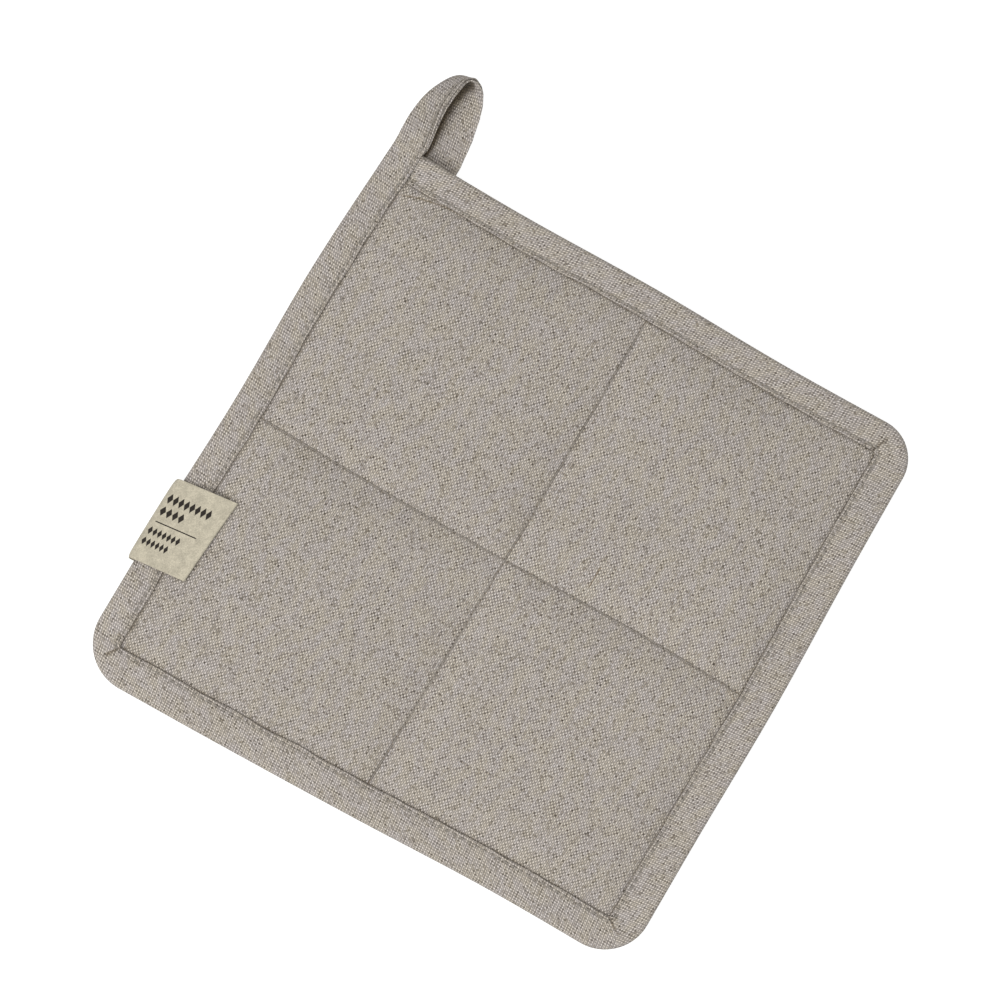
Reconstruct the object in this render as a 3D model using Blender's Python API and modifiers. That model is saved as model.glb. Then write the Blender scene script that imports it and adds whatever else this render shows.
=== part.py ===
"""Quilted cloth pot holder: two cloth panels over wadding, quilted in a cross, with a bound edge
whose strip runs on as a hanging loop, and a tape label folded over the left edge.

It lies flat, front up, with the underside of its quilted squares on the plane z = 0. Lengths are in
metres. The pad's left edge runs along Y, and the loop stands beyond its top left corner.
"""

import math

import bmesh
import bpy
from mathutils import Matrix, Vector

# The pad's nominal size, and how far each side wanders out of that square (outwards is positive),
# at five even steps. Left and right run from bottom to top, bottom and top from left to right.
PAD_WIDTH = 0.200
PAD_LENGTH = 0.200
LEFT_DRIFT = (0.0040, 0.0029, 0.0008, 0.0003, -0.0027)
RIGHT_DRIFT = (0.0008, 0.0011, 0.0019, 0.0011, 0.0009)
BOTTOM_DRIFT = (0.0006, 0.0001, -0.0009, -0.0024, -0.0020)
TOP_DRIFT = (-0.0004, -0.0013, -0.0007, -0.0015, -0.0008)
TOP_RIGHT_RADIUS = 0.0135
BOTTOM_RIGHT_RADIUS = 0.0160
BOTTOM_LEFT_RADIUS = 0.0170

# Layers through the thickness
GAP = 0.0003
CLOTH = 0.0005
SEAM_WADDING = 0.0010
FRONT_CROWN = 0.0041
BACK_CROWN = 0.0041
BACK_SWELL = 0.0056
PUFF_POWER = 2.2
PUFF_ROUNDING = 0.6

# The bias strip around the edge, folded to a channel
LEFT_BINDING = 0.0103
RIGHT_BINDING = 0.0119
BOTTOM_BINDING = 0.0120
TOP_BINDING = 0.0103
BINDING_WALL = 0.0007
LIP_RADIUS = 0.0012
STITCH_INSET = 0.0013
STITCH_DIP = 0.0003
MITRE_DIP = 0.0004
HEM_CLEARANCE = 0.0009

# The strip's run as a loop, closed flat
LOOP_RISE = 0.0300
LOOP_LIFT = 0.0113
LOOP_THICKNESS = 0.0014
LOOP_SLIT = 0.0002
LOOP_TAIL = 0.0080
LOOP_OPENING_RUN = 0.0040

# The wander of the two quilting lines off the pad's centre lines, at even steps
LENGTHWISE_WANDER = (-0.0014, 0.0002, 0.0017, 0.0024, 0.0030)
CROSSWISE_WANDER = (-0.0008, -0.0018, -0.0019, -0.0009, -0.0020)
THREAD_RADIUS = 0.0002
THREAD_STEPS = 22
THREAD_END_FACING = 0.35

# The label, a tape folded round the left edge
LABEL_CENTRE = -0.0455
LABEL_HEIGHT = 0.0312
LABEL_REACH = 0.0204
LABEL_END_SKEW = 0.0007
LABEL_BACK_REACH = 0.0080
LABEL_OVERHANG = 0.0020
LABEL_THICKNESS = 0.00035
LABEL_TURN = math.radians(4.7)
LABEL_END_LIFT = 0.0005
LABEL_FLAT_STEPS = 5
LABEL_TURN_STEPS = 7
LABEL_ROWS = 8

# Levels measured from the pad's middle plane, which the sizes above settle
CLOTH_LEVEL = SEAM_WADDING / 2 + GAP + CLOTH
SLOT_LEVEL = CLOTH_LEVEL + GAP
BINDING_LEVEL = SLOT_LEVEL + BINDING_WALL
TAIL_LEVEL = -BINDING_LEVEL - GAP - LOOP_THICKNESS / 2
THREAD_LIFT = GAP + THREAD_RADIUS
UP = Vector((0, 0, 1))

# Grid lines from a seam to the middle of a quilted square, closer together beside the seam
PANEL_STEPS = (0, 0.04, 0.12, 0.28, 0.58, 1)
WADDING_STEPS = (0, 0.12, 0.58, 1)
SIDE_STATIONS = 7
CORNER_TURNS = (0, 15, 30, 41, 45, 49, 60, 75, 90)
MITRE_TURN = 45
CORNER_PASSES = 6
SHARP_ANGLE = math.radians(50)

# The loop's two edges, in the order that the strip runs: the outer fold's place, then the sewn
# edge's. Each is a share of the strip's width, of the loop's rise and of its lift off the tail.
LOOP_STATIONS = (
    ((0.00, 0.06, 0.43), (1.01, 0.06, 0.47)),
    ((-0.01, 0.16, 0.51), (0.98, 0.16, 0.60)),
    ((0.01, 0.36, 0.61), (0.91, 0.36, 0.79)),
    ((0.13, 0.59, 0.61), (0.87, 0.59, 0.93)),
    ((0.37, 0.78, 0.48), (0.95, 0.79, 1.00)),
    ((0.62, 0.90, 0.34), (1.04, 0.90, 1.02)),
    ((0.86, 0.945, 0.22), (1.16, 0.955, 1.00)),
    ((1.00, 0.915, 0.12), (1.38, 0.965, 0.90)),
    ((0.95, 0.80, 0.04), (1.68, 0.88, 0.66)),
    ((0.88, 0.63, 0.01), (1.92, 0.68, 0.28)),
    ((0.86, 0.38, 0.00), (2.05, 0.40, 0.04)),
    ((0.93, 0.18, 0.00), (2.13, 0.19, 0.00)),
    ((0.99, 0.02, 0.00), (2.19, 0.02, 0.00)),
)
LOOP_STEPS = 2


def along(values, share):
    """The value at share, from 0 to 1, of a smooth line through evenly spaced values."""
    steps = len(values) - 1
    place = min(max(share, 0.0), 1.0) * steps
    index = min(int(place), steps - 1)
    t = place - index
    first, last = values[index], values[index + 1]
    before = values[index - 1] if index else first + (first - last)
    after = values[index + 2] if index + 2 <= steps else last + (last - first)
    bend = 2 * before - 5 * first + 4 * last - after
    twist = 3 * first - before - 3 * last + after
    return first + (last - before) * (t / 2) + bend * (t * t / 2) + twist * (t**3 / 2)


def side_x(side, y):
    """The pad's left (-1) or right (1) edge at a place along it."""
    drift = LEFT_DRIFT if side < 0 else RIGHT_DRIFT
    return side * (PAD_WIDTH / 2 + along(drift, y / PAD_LENGTH + 0.5))


def side_y(side, x):
    """The pad's bottom (-1) or top (1) edge at a place along it."""
    drift = BOTTOM_DRIFT if side < 0 else TOP_DRIFT
    return side * (PAD_LENGTH / 2 + along(drift, x / PAD_WIDTH + 0.5))


def lip_x(side, y):
    """The inner edge of the left (-1) or right (1) binding."""
    return side_x(side, y) - side * (LEFT_BINDING if side < 0 else RIGHT_BINDING)


def lip_y(side, x):
    """The inner edge of the bottom (-1) or top (1) binding."""
    return side_y(side, x) - side * (BOTTOM_BINDING if side < 0 else TOP_BINDING)


def corner_arc(across, up, edge_x, edge_y, radius):
    """The centre and the two half widths of the arc that rounds the corner of two edges."""
    x, y = across * PAD_WIDTH / 2, up * PAD_LENGTH / 2
    for _ in range(CORNER_PASSES):
        x, y = edge_x(across, y), edge_y(up, x)
    x, y = x - across * radius, y - up * radius
    return Vector((x, y)), Vector((edge_x(across, y) - x, edge_y(up, x) - y))


def on_arc(arc, degrees):
    """A point of a corner's arc: 0 meets the left or right edge, 90 the bottom or top one."""
    centre, reach = arc
    turn = math.radians(degrees)
    return centre + Vector((reach.x * math.cos(turn), reach.y * math.sin(turn)))


CORNER_RADII = {
    (1, 1): TOP_RIGHT_RADIUS,
    (1, -1): BOTTOM_RIGHT_RADIUS,
    (-1, -1): BOTTOM_LEFT_RADIUS,
    (-1, 1): LIP_RADIUS,
}
EDGE_ARCS = {
    corner: corner_arc(*corner, side_x, side_y, radius)
    for corner, radius in CORNER_RADII.items()
}
LIP_ARCS = {corner: corner_arc(*corner, lip_x, lip_y, LIP_RADIUS) for corner in CORNER_RADII}


def outline_x(side, y):
    """The left or right edge with its rounded corners, at a place along it."""
    for up in (-1, 1):
        centre, reach = EDGE_ARCS[side, up]
        share = (y - centre.y) / reach.y
        if share > 0:
            return centre.x + reach.x * math.sqrt(max(0.0, 1 - share * share))
    return side_x(side, y)


def outline_y(side, x):
    """The bottom or top edge with its rounded corners, at a place along it."""
    for across in (-1, 1):
        centre, reach = EDGE_ARCS[across, side]
        share = (x - centre.x) / reach.x
        if share > 0:
            return centre.y + reach.y * math.sqrt(max(0.0, 1 - share * share))
    return side_y(side, x)


def quilt_x(y):
    """The lengthwise quilting line."""
    return along(LENGTHWISE_WANDER, y / PAD_LENGTH + 0.5)


def quilt_y(x):
    """The crosswise quilting line."""
    return along(CROSSWISE_WANDER, x / PAD_WIDTH + 0.5)


def pad_point(across, up):
    """A place inside the binding, from shares of -1 to 1 that are 0 on the quilting lines."""
    x, y = across * PAD_WIDTH / 2, up * PAD_LENGTH / 2
    for _ in range(CORNER_PASSES):
        edge = lip_x(1 if across > 0 else -1, y)
        x = quilt_x(y) + abs(across) * (edge - quilt_x(y))
        edge = lip_y(1 if up > 0 else -1, x)
        y = quilt_y(x) + abs(up) * (edge - quilt_y(x))
    return x, y


def puff(across, up):
    """How far a place of a quilted square has swelled, from 0 at its seams to 1 at its middle."""
    swell = 1.0
    for share in (across, up):
        from_middle = min(1.0, abs(2 * abs(share) - 1))
        swell *= (1 - from_middle**PUFF_POWER) ** PUFF_ROUNDING
    return swell


def front_level(across, up):
    """The front panel's outer face above the middle plane."""
    return CLOTH_LEVEL + (FRONT_CROWN - CLOTH_LEVEL) * puff(across, up)


def back_level(across, up):
    """The back panel's outer face below the middle plane, pressed flat where it rests."""
    return -min(BACK_CROWN, CLOTH_LEVEL + (BACK_SWELL - CLOTH_LEVEL) * puff(across, up))


def grid_shares(steps):
    """Grid lines from -1 to 1, from the steps between a seam and the middle of a square."""
    seam_to_middle = [step / 2 for step in steps]
    seam_to_lip = seam_to_middle + [1 - step for step in reversed(seam_to_middle[:-1])]
    return [-share for share in reversed(seam_to_lip[1:])] + seam_to_lip


def hem_point(column, row, shares, inset):
    """A point of the outermost grid lines, which lie inside the binding's channel."""
    last = len(shares) + 1
    across = (column == last) - (column == 0)
    up = (row == last) - (row == 0)
    if across and up:
        corner = on_arc(EDGE_ARCS[across, up], MITRE_TURN)
        return corner.x - across * inset, corner.y - up * inset
    if across:
        y = pad_point(across, shares[row - 1])[1]
        return outline_x(across, y) - across * inset, y
    x = pad_point(shares[column - 1], up)[0]
    return x, outline_y(up, x) - up * inset


def place_grid(vertices, segments, shares, level, inset):
    """Moves the vertices of a square grid to the pad's own grid lines, at a level each."""
    for vertex in vertices:
        column = round((vertex.co.x + 1) / 2 * segments)
        row = round((vertex.co.y + 1) / 2 * segments)
        if 0 < column < segments and 0 < row < segments:
            across, up = shares[column - 1], shares[row - 1]
            x, y = pad_point(across, up)
            vertex.co = (x, y, level(across, up))
        else:
            x, y = hem_point(column, row, shares, inset)
            vertex.co = (x, y, level(1, 1))


def finish_mesh(name, shape):
    mesh = bpy.data.meshes.new(name)
    bmesh.ops.recalc_face_normals(shape, faces=shape.faces)
    shape.to_mesh(mesh)
    shape.free()
    return mesh


def make_panel(name, level, facing):
    """One cloth panel: a sheet over its own grid lines, thickened towards the wadding."""
    shares = grid_shares(PANEL_STEPS)
    segments = len(shares) + 1
    shape = bmesh.new()
    bmesh.ops.create_grid(shape, x_segments=segments, y_segments=segments, size=1)
    place_grid(shape.verts, segments, shares, level, BINDING_WALL + HEM_CLEARANCE)
    if facing < 0:
        bmesh.ops.reverse_faces(shape, faces=shape.faces)
    mesh = bpy.data.meshes.new(name)
    shape.to_mesh(mesh)
    shape.free()
    panel = bpy.data.objects.new(name, mesh)
    wall = panel.modifiers.new("cloth", "SOLIDIFY")
    wall.thickness = CLOTH
    wall.offset = -1
    return panel


def make_wadding(name):
    """The wadding, pressed thin along the seams and under the binding."""
    shares = grid_shares(WADDING_STEPS)
    segments = len(shares) + 1
    inset = BINDING_WALL + HEM_CLEARANCE + GAP
    shape = bmesh.new()
    bmesh.ops.create_grid(shape, x_segments=segments, y_segments=segments, size=1)
    grown = bmesh.ops.extrude_face_region(shape, geom=shape.faces[:])["geom"]
    upper = {item for item in grown if isinstance(item, bmesh.types.BMVert)}
    lower = [vertex for vertex in shape.verts if vertex not in upper]
    skin = CLOTH + GAP
    place_grid(upper, segments, shares, lambda a, u: front_level(a, u) - skin, inset)
    place_grid(lower, segments, shares, lambda a, u: back_level(a, u) + skin, inset)
    return bpy.data.objects.new(name, finish_mesh(name, shape))


def strip_section(fold, lip, normal, level, slot, dip):
    """The folded strip's section, from its front lip round the fold to its back lip and inside.

    fold and lip are the middles of its two edges, level and slot the half heights of its outer
    faces and of its hollow, and dip is how far the fold's middle is pressed in at a mitre.
    """
    width = (lip - fold).length
    across = (lip - fold) / width
    stitch = level - STITCH_DIP * min(1.0, level / BINDING_LEVEL)
    wall = min(BINDING_WALL, level)
    middle = level - dip
    half = (
        (width, 0.94 * level),
        (width - STITCH_INSET, stitch - dip / 2),
        (0.55 * width, middle),
        (0.17 * width, 0.96 * level),
        (0.05 * width, 0.70 * level),
    )
    hollow = ((wall, 0.8 * slot), (0.14 * width, slot), (width, slot))
    outline = list(half) + [(0.0, 0.0)] + [(a, -h) for a, h in reversed(half)]
    outline += [(a, -h) for a, h in reversed(hollow)] + list(hollow)
    return [fold + across * a + normal * h for a, h in outline]


def rim_point(axis, side, at, lip):
    """A point of one side's edge or lip. axis 0 is a side that runs along X, 1 along Y."""
    if axis == 0:
        return Vector((at, (lip_y if lip else side_y)(side, at)))
    return Vector(((lip_x if lip else side_x)(side, at), at))


def edge_stations():
    """The strip's places round the pad: its fold, its lip and the mitre's depth at each."""
    top_start = lip_x(-1, lip_y(1, -PAD_WIDTH / 2)) + 2 * GAP
    left_end = side_y(1, -PAD_WIDTH / 2) - BINDING_WALL
    falling, rising = CORNER_TURNS[::-1], CORNER_TURNS
    sides = (
        (0, 1, None, (1, 1), falling),
        (1, 1, (1, 1), (1, -1), rising),
        (0, -1, (1, -1), (-1, -1), falling),
        (1, -1, (-1, -1), None, ()),
    )
    stations = []
    for axis, side, begin, end, turns in sides:
        spans = []
        for arcs in (EDGE_ARCS, LIP_ARCS):
            first = arcs[begin][0][axis] if begin else top_start
            last = arcs[end][0][axis] if end else left_end
            spans.append((first, last))
        for step in range(0 if begin is None else 1, SIDE_STATIONS + (end is None)):
            share = step / SIDE_STATIONS
            fold_at, lip_at = [first + (last - first) * share for first, last in spans]
            fold, lip = rim_point(axis, side, fold_at, False), rim_point(axis, side, lip_at, True)
            stations.append((fold, lip, 0.0))
        for turn in turns:
            dip = MITRE_DIP if turn == MITRE_TURN else 0.0
            stations.append((on_arc(EDGE_ARCS[end], turn), on_arc(LIP_ARCS[end], turn), dip))
    return [(fold.to_3d(), lip.to_3d(), dip) for fold, lip, dip in stations]


def loop_edges():
    """The loop's fold and sewn edge at each of its stations, then at the tail's end."""
    corner = Vector((side_x(-1, PAD_LENGTH / 2), side_y(1, -PAD_WIDTH / 2), TAIL_LEVEL))
    size = Matrix.Diagonal((LEFT_BINDING, LOOP_RISE, LOOP_LIFT))
    pairs = [[corner + size @ Vector(shares) for shares in pair] for pair in LOOP_STATIONS]
    tail = Vector((0, -LOOP_TAIL, 0))
    pairs.append((pairs[-1][0] + tail, pairs[-1][1] + tail))
    return pairs


def strip_stations(edge):
    """Every station of the strip: fold, lip, normal, half height, hollow's half height, dip."""
    keys = [edge[-1][:2]] + loop_edges()
    run = []
    for step in range(1, (len(keys) - 1) * LOOP_STEPS + 1):
        share = step / ((len(keys) - 1) * LOOP_STEPS)
        run.append([along([key[part] for key in keys], share) for part in (0, 1)])
    stations = [(fold, lip, UP, BINDING_LEVEL, SLOT_LEVEL, dip) for fold, lip, dip in edge]
    middles = [(fold + lip) / 2 for fold, lip in [edge[-1][:2]] + run]
    start = middles[0].y
    for index, (fold, lip) in enumerate(run):
        ahead = middles[min(index + 2, len(middles) - 1)] - middles[index]
        normal = (lip - fold).cross(ahead).normalized()
        closing = 1.0
        if index < len(run) // 2:
            closing = min(1.0, (middles[index + 1].y - start) / LOOP_OPENING_RUN)
        level = BINDING_LEVEL + (LOOP_THICKNESS / 2 - BINDING_LEVEL) * closing
        slot = SLOT_LEVEL + (LOOP_SLIT / 2 - SLOT_LEVEL) * closing
        stations.append((fold, lip, normal, level, slot, 0.0))
    return stations


def loft(name, sections):
    """A closed skin through like sections, capped at both ends."""
    shape = bmesh.new()
    rings = [[shape.verts.new(point) for point in section] for section in sections]
    for ring, following in zip(rings, rings[1:]):
        for index in range(len(ring)):
            corners = (ring[index - 1], ring[index], following[index], following[index - 1])
            shape.faces.new(corners)
    shape.faces.new(rings[0])
    shape.faces.new(rings[-1])
    return bpy.data.objects.new(name, finish_mesh(name, shape))


def make_thread(name, points):
    """A sewing thread as a fine tube through its points."""
    curve = bpy.data.curves.new(name, "CURVE")
    curve.dimensions = "3D"
    curve.bevel_depth = THREAD_RADIUS
    curve.bevel_resolution = 1
    curve.use_fill_caps = True
    spline = curve.splines.new("POLY")
    spline.points.add(len(points) - 1)
    for place, point in zip(spline.points, points):
        place.co = (*point, 1)
    return bpy.data.objects.new(name, curve)


def quilting_points(lengthwise, side):
    """A quilting thread in its groove, on the front (1) or back (-1), from lip to lip."""
    hump = 2 * THREAD_RADIUS + GAP
    points = []
    for step in range(THREAD_STEPS + 1):
        share = 2 * step / THREAD_STEPS - 1
        run = share * (1 - 2 * GAP / PAD_LENGTH)
        x, y = pad_point(0, run) if lengthwise else pad_point(run, 0)
        over = hump if not lengthwise and abs(share) < 1 / THREAD_STEPS else 0.0
        points.append((x, y, side * (CLOTH_LEVEL + THREAD_LIFT + over)))
    return points


def binding_points(stations, side):
    """The binding's topstitching beside its lip, on that side's outer face, to the loop's top."""
    points = []
    for fold, lip, normal, level, _, _ in stations:
        if normal.z < THREAD_END_FACING:
            break
        inwards = (lip - fold).normalized()
        stitch = level - STITCH_DIP * min(1.0, level / BINDING_LEVEL)
        lift = side * (stitch + THREAD_LIFT)
        points.append(lip - inwards * STITCH_INSET + normal * lift)
    return points


def make_label(name):
    """The tape: over the binding to the panel in front, round the edge and under it behind."""
    front = BINDING_LEVEL + 2 * THREAD_LIFT + GAP + LABEL_THICKNESS / 2
    back = BINDING_LEVEL + GAP + LABEL_THICKNESS / 2
    turn_depth = LABEL_OVERHANG + GAP
    profile = []
    for step in range(LABEL_FLAT_STEPS):
        share = 1 - step / LABEL_FLAT_STEPS
        profile.append((share, front + LABEL_END_LIFT * share**3))
    for step in range(LABEL_TURN_STEPS + 1):
        turn = math.pi * step / LABEL_TURN_STEPS
        height = front if turn < math.pi / 2 else back
        profile.append((-math.sin(turn) * turn_depth, height * math.cos(turn)))
    profile.append((LABEL_BACK_REACH / 2, -back))
    profile.append((LABEL_BACK_REACH, -back))

    columns = len(profile) - 1
    direction = Vector((math.cos(LABEL_TURN), math.sin(LABEL_TURN)))
    shape = bmesh.new()
    bmesh.ops.create_grid(shape, x_segments=columns, y_segments=LABEL_ROWS, size=1)
    for vertex in shape.verts:
        column = round((vertex.co.x + 1) / 2 * columns)
        up = vertex.co.y
        y = LABEL_CENTRE + up * LABEL_HEIGHT / 2
        along_tape, level = profile[column]
        if column < LABEL_FLAT_STEPS:
            along_tape *= LABEL_REACH - LABEL_OVERHANG - up * LABEL_END_SKEW
        place = Vector((side_x(-1, y), y)) + direction * along_tape
        vertex.co = (place.x, place.y, level)
    bmesh.ops.recalc_face_normals(shape, faces=shape.faces)
    mesh = bpy.data.meshes.new(name)
    shape.to_mesh(mesh)
    shape.free()
    label = bpy.data.objects.new(name, mesh)
    wall = label.modifiers.new("tape", "SOLIDIFY")
    wall.thickness = LABEL_THICKNESS
    wall.offset = 0
    return label


def cloth_material(name, colour, roughness):
    material = bpy.data.materials.new(name)
    material.use_nodes = True
    shader = material.node_tree.nodes["Principled BSDF"]
    shader.inputs["Base Color"].default_value = (*colour, 1)
    shader.inputs["Roughness"].default_value = roughness
    shader.inputs["Metallic"].default_value = 0
    return material


def clear_scene():
    for item in list(bpy.data.objects):
        bpy.data.objects.remove(item)


def seat_at_origin(root, parts):
    """Moves the whole holder so that its box's bottom centre is the origin."""
    bpy.context.view_layer.update()
    graph = bpy.context.evaluated_depsgraph_get()
    corners = []
    for part in parts:
        solid = part.evaluated_get(graph)
        mesh = solid.to_mesh()
        corners += [solid.matrix_world @ vertex.co for vertex in mesh.vertices]
        solid.to_mesh_clear()
    low = Vector([min(corner[axis] for corner in corners) for axis in range(3)])
    high = Vector([max(corner[axis] for corner in corners) for axis in range(3)])
    root.location = -Vector(((low.x + high.x) / 2, (low.y + high.y) / 2, low.z))


def main():
    clear_scene()
    collection = bpy.data.collections.new("pot_holder")
    bpy.context.scene.collection.children.link(collection)
    root = bpy.data.objects.new("pot_holder_middle", None)
    collection.objects.link(root)

    edge = edge_stations()
    stations = strip_stations(edge)
    panel_grey = (0.386, 0.352, 0.315)
    binding_grey = (0.402, 0.366, 0.326)
    thread_grey = (0.330, 0.300, 0.262)
    cream = (0.604, 0.539, 0.413)
    made = (
        (make_panel("front_panel", front_level, 1), panel_grey, 0.95),
        (make_panel("back_panel", back_level, -1), panel_grey, 0.95),
        (make_wadding("wadding"), (0.8, 0.79, 0.76), 1.0),
        (
            loft("edge_binding", [strip_section(*station) for station in stations]),
            binding_grey,
            0.95,
        ),
        (make_label("side_label"), cream, 0.9),
        (make_thread("quilting_thread_front_lengthwise", quilting_points(True, 1)), thread_grey, 0.8),
        (make_thread("quilting_thread_front_crosswise", quilting_points(False, 1)), thread_grey, 0.8),
        (make_thread("quilting_thread_back_lengthwise", quilting_points(True, -1)), thread_grey, 0.8),
        (make_thread("quilting_thread_back_crosswise", quilting_points(False, -1)), thread_grey, 0.8),
        (make_thread("binding_thread_front", binding_points(stations, 1)), thread_grey, 0.8),
        (
            make_thread("binding_thread_back", binding_points(stations[: len(edge)], -1)),
            thread_grey,
            0.8,
        ),
    )
    parts = []
    for part, colour, roughness in made:
        if part.type == "MESH":
            part.data.shade_smooth()
            part.data.set_sharp_from_angle(angle=SHARP_ANGLE)
        part.data.materials.append(cloth_material(part.name, colour, roughness))
        part.parent = root
        collection.objects.link(part)
        parts.append(part)
    seat_at_origin(root, parts)


main()
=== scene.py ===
"""Cloth, binding, label, stitches and studio for a quilted pot holder.

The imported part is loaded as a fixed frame, and each soft piece here is made in the pad's own plane
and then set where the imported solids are. Lengths are in metres. The pad's left edge runs along Y, and
the hanging loop stands beyond its top left corner.
"""

import math
from functools import partial

import bmesh
import bpy
import numpy as np
from bpy.props import FloatProperty, FloatVectorProperty, PointerProperty
from mathutils import Matrix, Vector, noise


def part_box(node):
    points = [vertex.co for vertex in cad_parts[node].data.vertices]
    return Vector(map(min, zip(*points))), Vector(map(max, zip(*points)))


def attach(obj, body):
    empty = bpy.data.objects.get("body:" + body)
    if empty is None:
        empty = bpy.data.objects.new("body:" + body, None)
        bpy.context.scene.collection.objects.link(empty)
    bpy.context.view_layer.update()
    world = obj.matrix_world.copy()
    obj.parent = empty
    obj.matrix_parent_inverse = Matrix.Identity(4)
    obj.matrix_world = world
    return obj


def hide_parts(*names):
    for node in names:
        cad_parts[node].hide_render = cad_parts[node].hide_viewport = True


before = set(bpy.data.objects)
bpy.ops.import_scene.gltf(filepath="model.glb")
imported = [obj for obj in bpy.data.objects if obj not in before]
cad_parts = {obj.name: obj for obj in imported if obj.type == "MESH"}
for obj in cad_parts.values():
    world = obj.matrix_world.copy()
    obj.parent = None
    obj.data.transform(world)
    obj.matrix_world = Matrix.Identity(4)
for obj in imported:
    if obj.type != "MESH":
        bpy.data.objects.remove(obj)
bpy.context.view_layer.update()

bl_info = {
    "name": "Pot Holder",
    "version": (1, 0, 0),
    "blender": (4, 5, 0),
    "location": "3D View > Sidebar > Pot Holder",
    "description": "Makes a quilted cloth pot holder with a bound edge and a hanging loop",
    "category": "Add Mesh",
}

BODY = "root"
UP = Vector((0, 0, 1))

# The pad's nominal size, and how far each side wanders out of that square (outwards is positive),
# at five even steps. Left and right run from bottom to top, bottom and top from left to right.
PAD_WIDTH = 0.200
PAD_LENGTH = 0.200
LEFT_DRIFT = (0.0040, 0.0029, 0.0008, 0.0003, -0.0027)
RIGHT_DRIFT = (0.0008, 0.0011, 0.0019, 0.0011, 0.0009)
BOTTOM_DRIFT = (0.0006, 0.0001, -0.0009, -0.0024, -0.0020)
TOP_DRIFT = (-0.0004, -0.0013, -0.0007, -0.0015, -0.0008)
LENGTHWISE_WANDER = (-0.0014, 0.0002, 0.0017, 0.0024, 0.0030)
CROSSWISE_WANDER = (-0.0008, -0.0018, -0.0019, -0.0009, -0.0020)
LIP_RADIUS = 0.0012
CORNER_RADII = {(1, 1): 0.0135, (1, -1): 0.0160, (-1, -1): 0.0170, (-1, 1): LIP_RADIUS}
CORNER_PASSES = 6

# Layers through the thickness, and their levels above the pad's middle plane
GAP = 0.0003
CLOTH = 0.0005
CLOTH_LEVEL = 0.0013
SLOT_LEVEL = CLOTH_LEVEL + GAP
BINDING_WALL = 0.0007
BINDING_LEVEL = SLOT_LEVEL + BINDING_WALL
CROWN = 0.0041
BACK_SWELL = 0.0056
PUFF_POWER = 2.2
PUFF_ROUNDING = 0.6
HEM_CLEARANCE = 0.0009
HEM_STEPS = (0.4, 1.0)

# The binding, from its outer fold to its lip, and the loop that it runs on as
LEFT_BINDING = 0.0103
RIGHT_BINDING = 0.0119
BOTTOM_BINDING = 0.0120
TOP_BINDING = 0.0103
STITCH_PITCH = 0.00275
STITCH_INSET = 0.0013
STITCH_DIP = 0.00034
LIP_ROUND = 0.00012
LOOP_RISE = 0.0300
LOOP_LIFT = 0.0113
LOOP_THICKNESS = 0.0014
LOOP_SLIT = 0.0002
LOOP_TAIL = 0.0080
LOOP_OPENING_RUN = 0.0030
LOOP_BACK_PROUD = 0.00045
LOOP_DROOP = 0.0005
TAIL_LEVEL = -BINDING_LEVEL - GAP - LOOP_THICKNESS / 2

# The loop's two edges in the order that the strip runs: its fold, then its sewn edge. Each is a
# share of the strip's width, of the loop's rise and of its lift off the tail.
LOOP_STATIONS = (
    ((0.00, 0.06, 0.43), (1.01, 0.06, 0.47)),
    ((-0.01, 0.16, 0.51), (0.98, 0.16, 0.60)),
    ((0.01, 0.36, 0.61), (0.91, 0.36, 0.79)),
    ((0.13, 0.59, 0.61), (0.87, 0.59, 0.93)),
    ((0.37, 0.78, 0.48), (0.95, 0.79, 1.00)),
    ((0.62, 0.90, 0.34), (1.04, 0.90, 1.02)),
    ((0.86, 0.945, 0.22), (1.16, 0.955, 1.00)),
    ((1.00, 0.915, 0.12), (1.38, 0.965, 0.90)),
    ((0.95, 0.80, 0.04), (1.68, 0.88, 0.66)),
    ((0.88, 0.63, 0.01), (1.92, 0.68, 0.28)),
    ((0.86, 0.38, 0.00), (2.05, 0.40, 0.04)),
    ((0.93, 0.18, 0.00), (2.13, 0.19, 0.00)),
    ((0.99, 0.02, 0.00), (2.19, 0.02, 0.00)),
)

# The label, a tape folded round the left edge
LABEL_CENTRE = -0.0462
LABEL_HEIGHT = 0.0301
LABEL_REACH = 0.0208
LABEL_END_SKEW = -0.0008
LABEL_BACK_REACH = 0.0080
LABEL_OVERHANG = 0.0021
LABEL_BACK_SHIFT = 0.0008
LABEL_CORNER_ROUNDING = 0.22
LABEL_THICKNESS = 0.00035
LABEL_TURN = math.radians(6.3)
LABEL_TURN_SKEW = math.radians(0.5)
LABEL_END_LIFT = 0.0008

# How finely each piece is made
CLOTH_LINES = 24
CLOTH_LINE_BIAS = 1.4
SIDE_STATIONS = 150
CORNER_STEP = 3
LOOP_STEPS = 8
SECTION_STEPS = 4


def along(values, share):
    """The value at share, from 0 to 1, of a smooth line through evenly spaced values."""
    steps = len(values) - 1
    place = min(max(share, 0.0), 1.0) * steps
    index = min(int(place), steps - 1)
    t = place - index
    first, last = values[index], values[index + 1]
    before = values[index - 1] if index else first + (first - last)
    after = values[index + 2] if index + 2 <= steps else last + (last - first)
    bend = 2 * before - 5 * first + 4 * last - after
    twist = 3 * first - before - 3 * last + after
    return first + (last - before) * (t / 2) + bend * (t * t / 2) + twist * (t**3 / 2)


def smooth_step(low, high, value):
    """0 below low, 1 above high, and an even rise between."""
    t = min(max((value - low) / (high - low), 0.0), 1.0)
    return t * t * (3 - 2 * t)


# The pad's outline and quilting lines

def side_x(side, y):
    """The pad's left (-1) or right (1) edge at a place along it."""
    drift = LEFT_DRIFT if side < 0 else RIGHT_DRIFT
    return side * (PAD_WIDTH / 2 + along(drift, y / PAD_LENGTH + 0.5))


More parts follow.
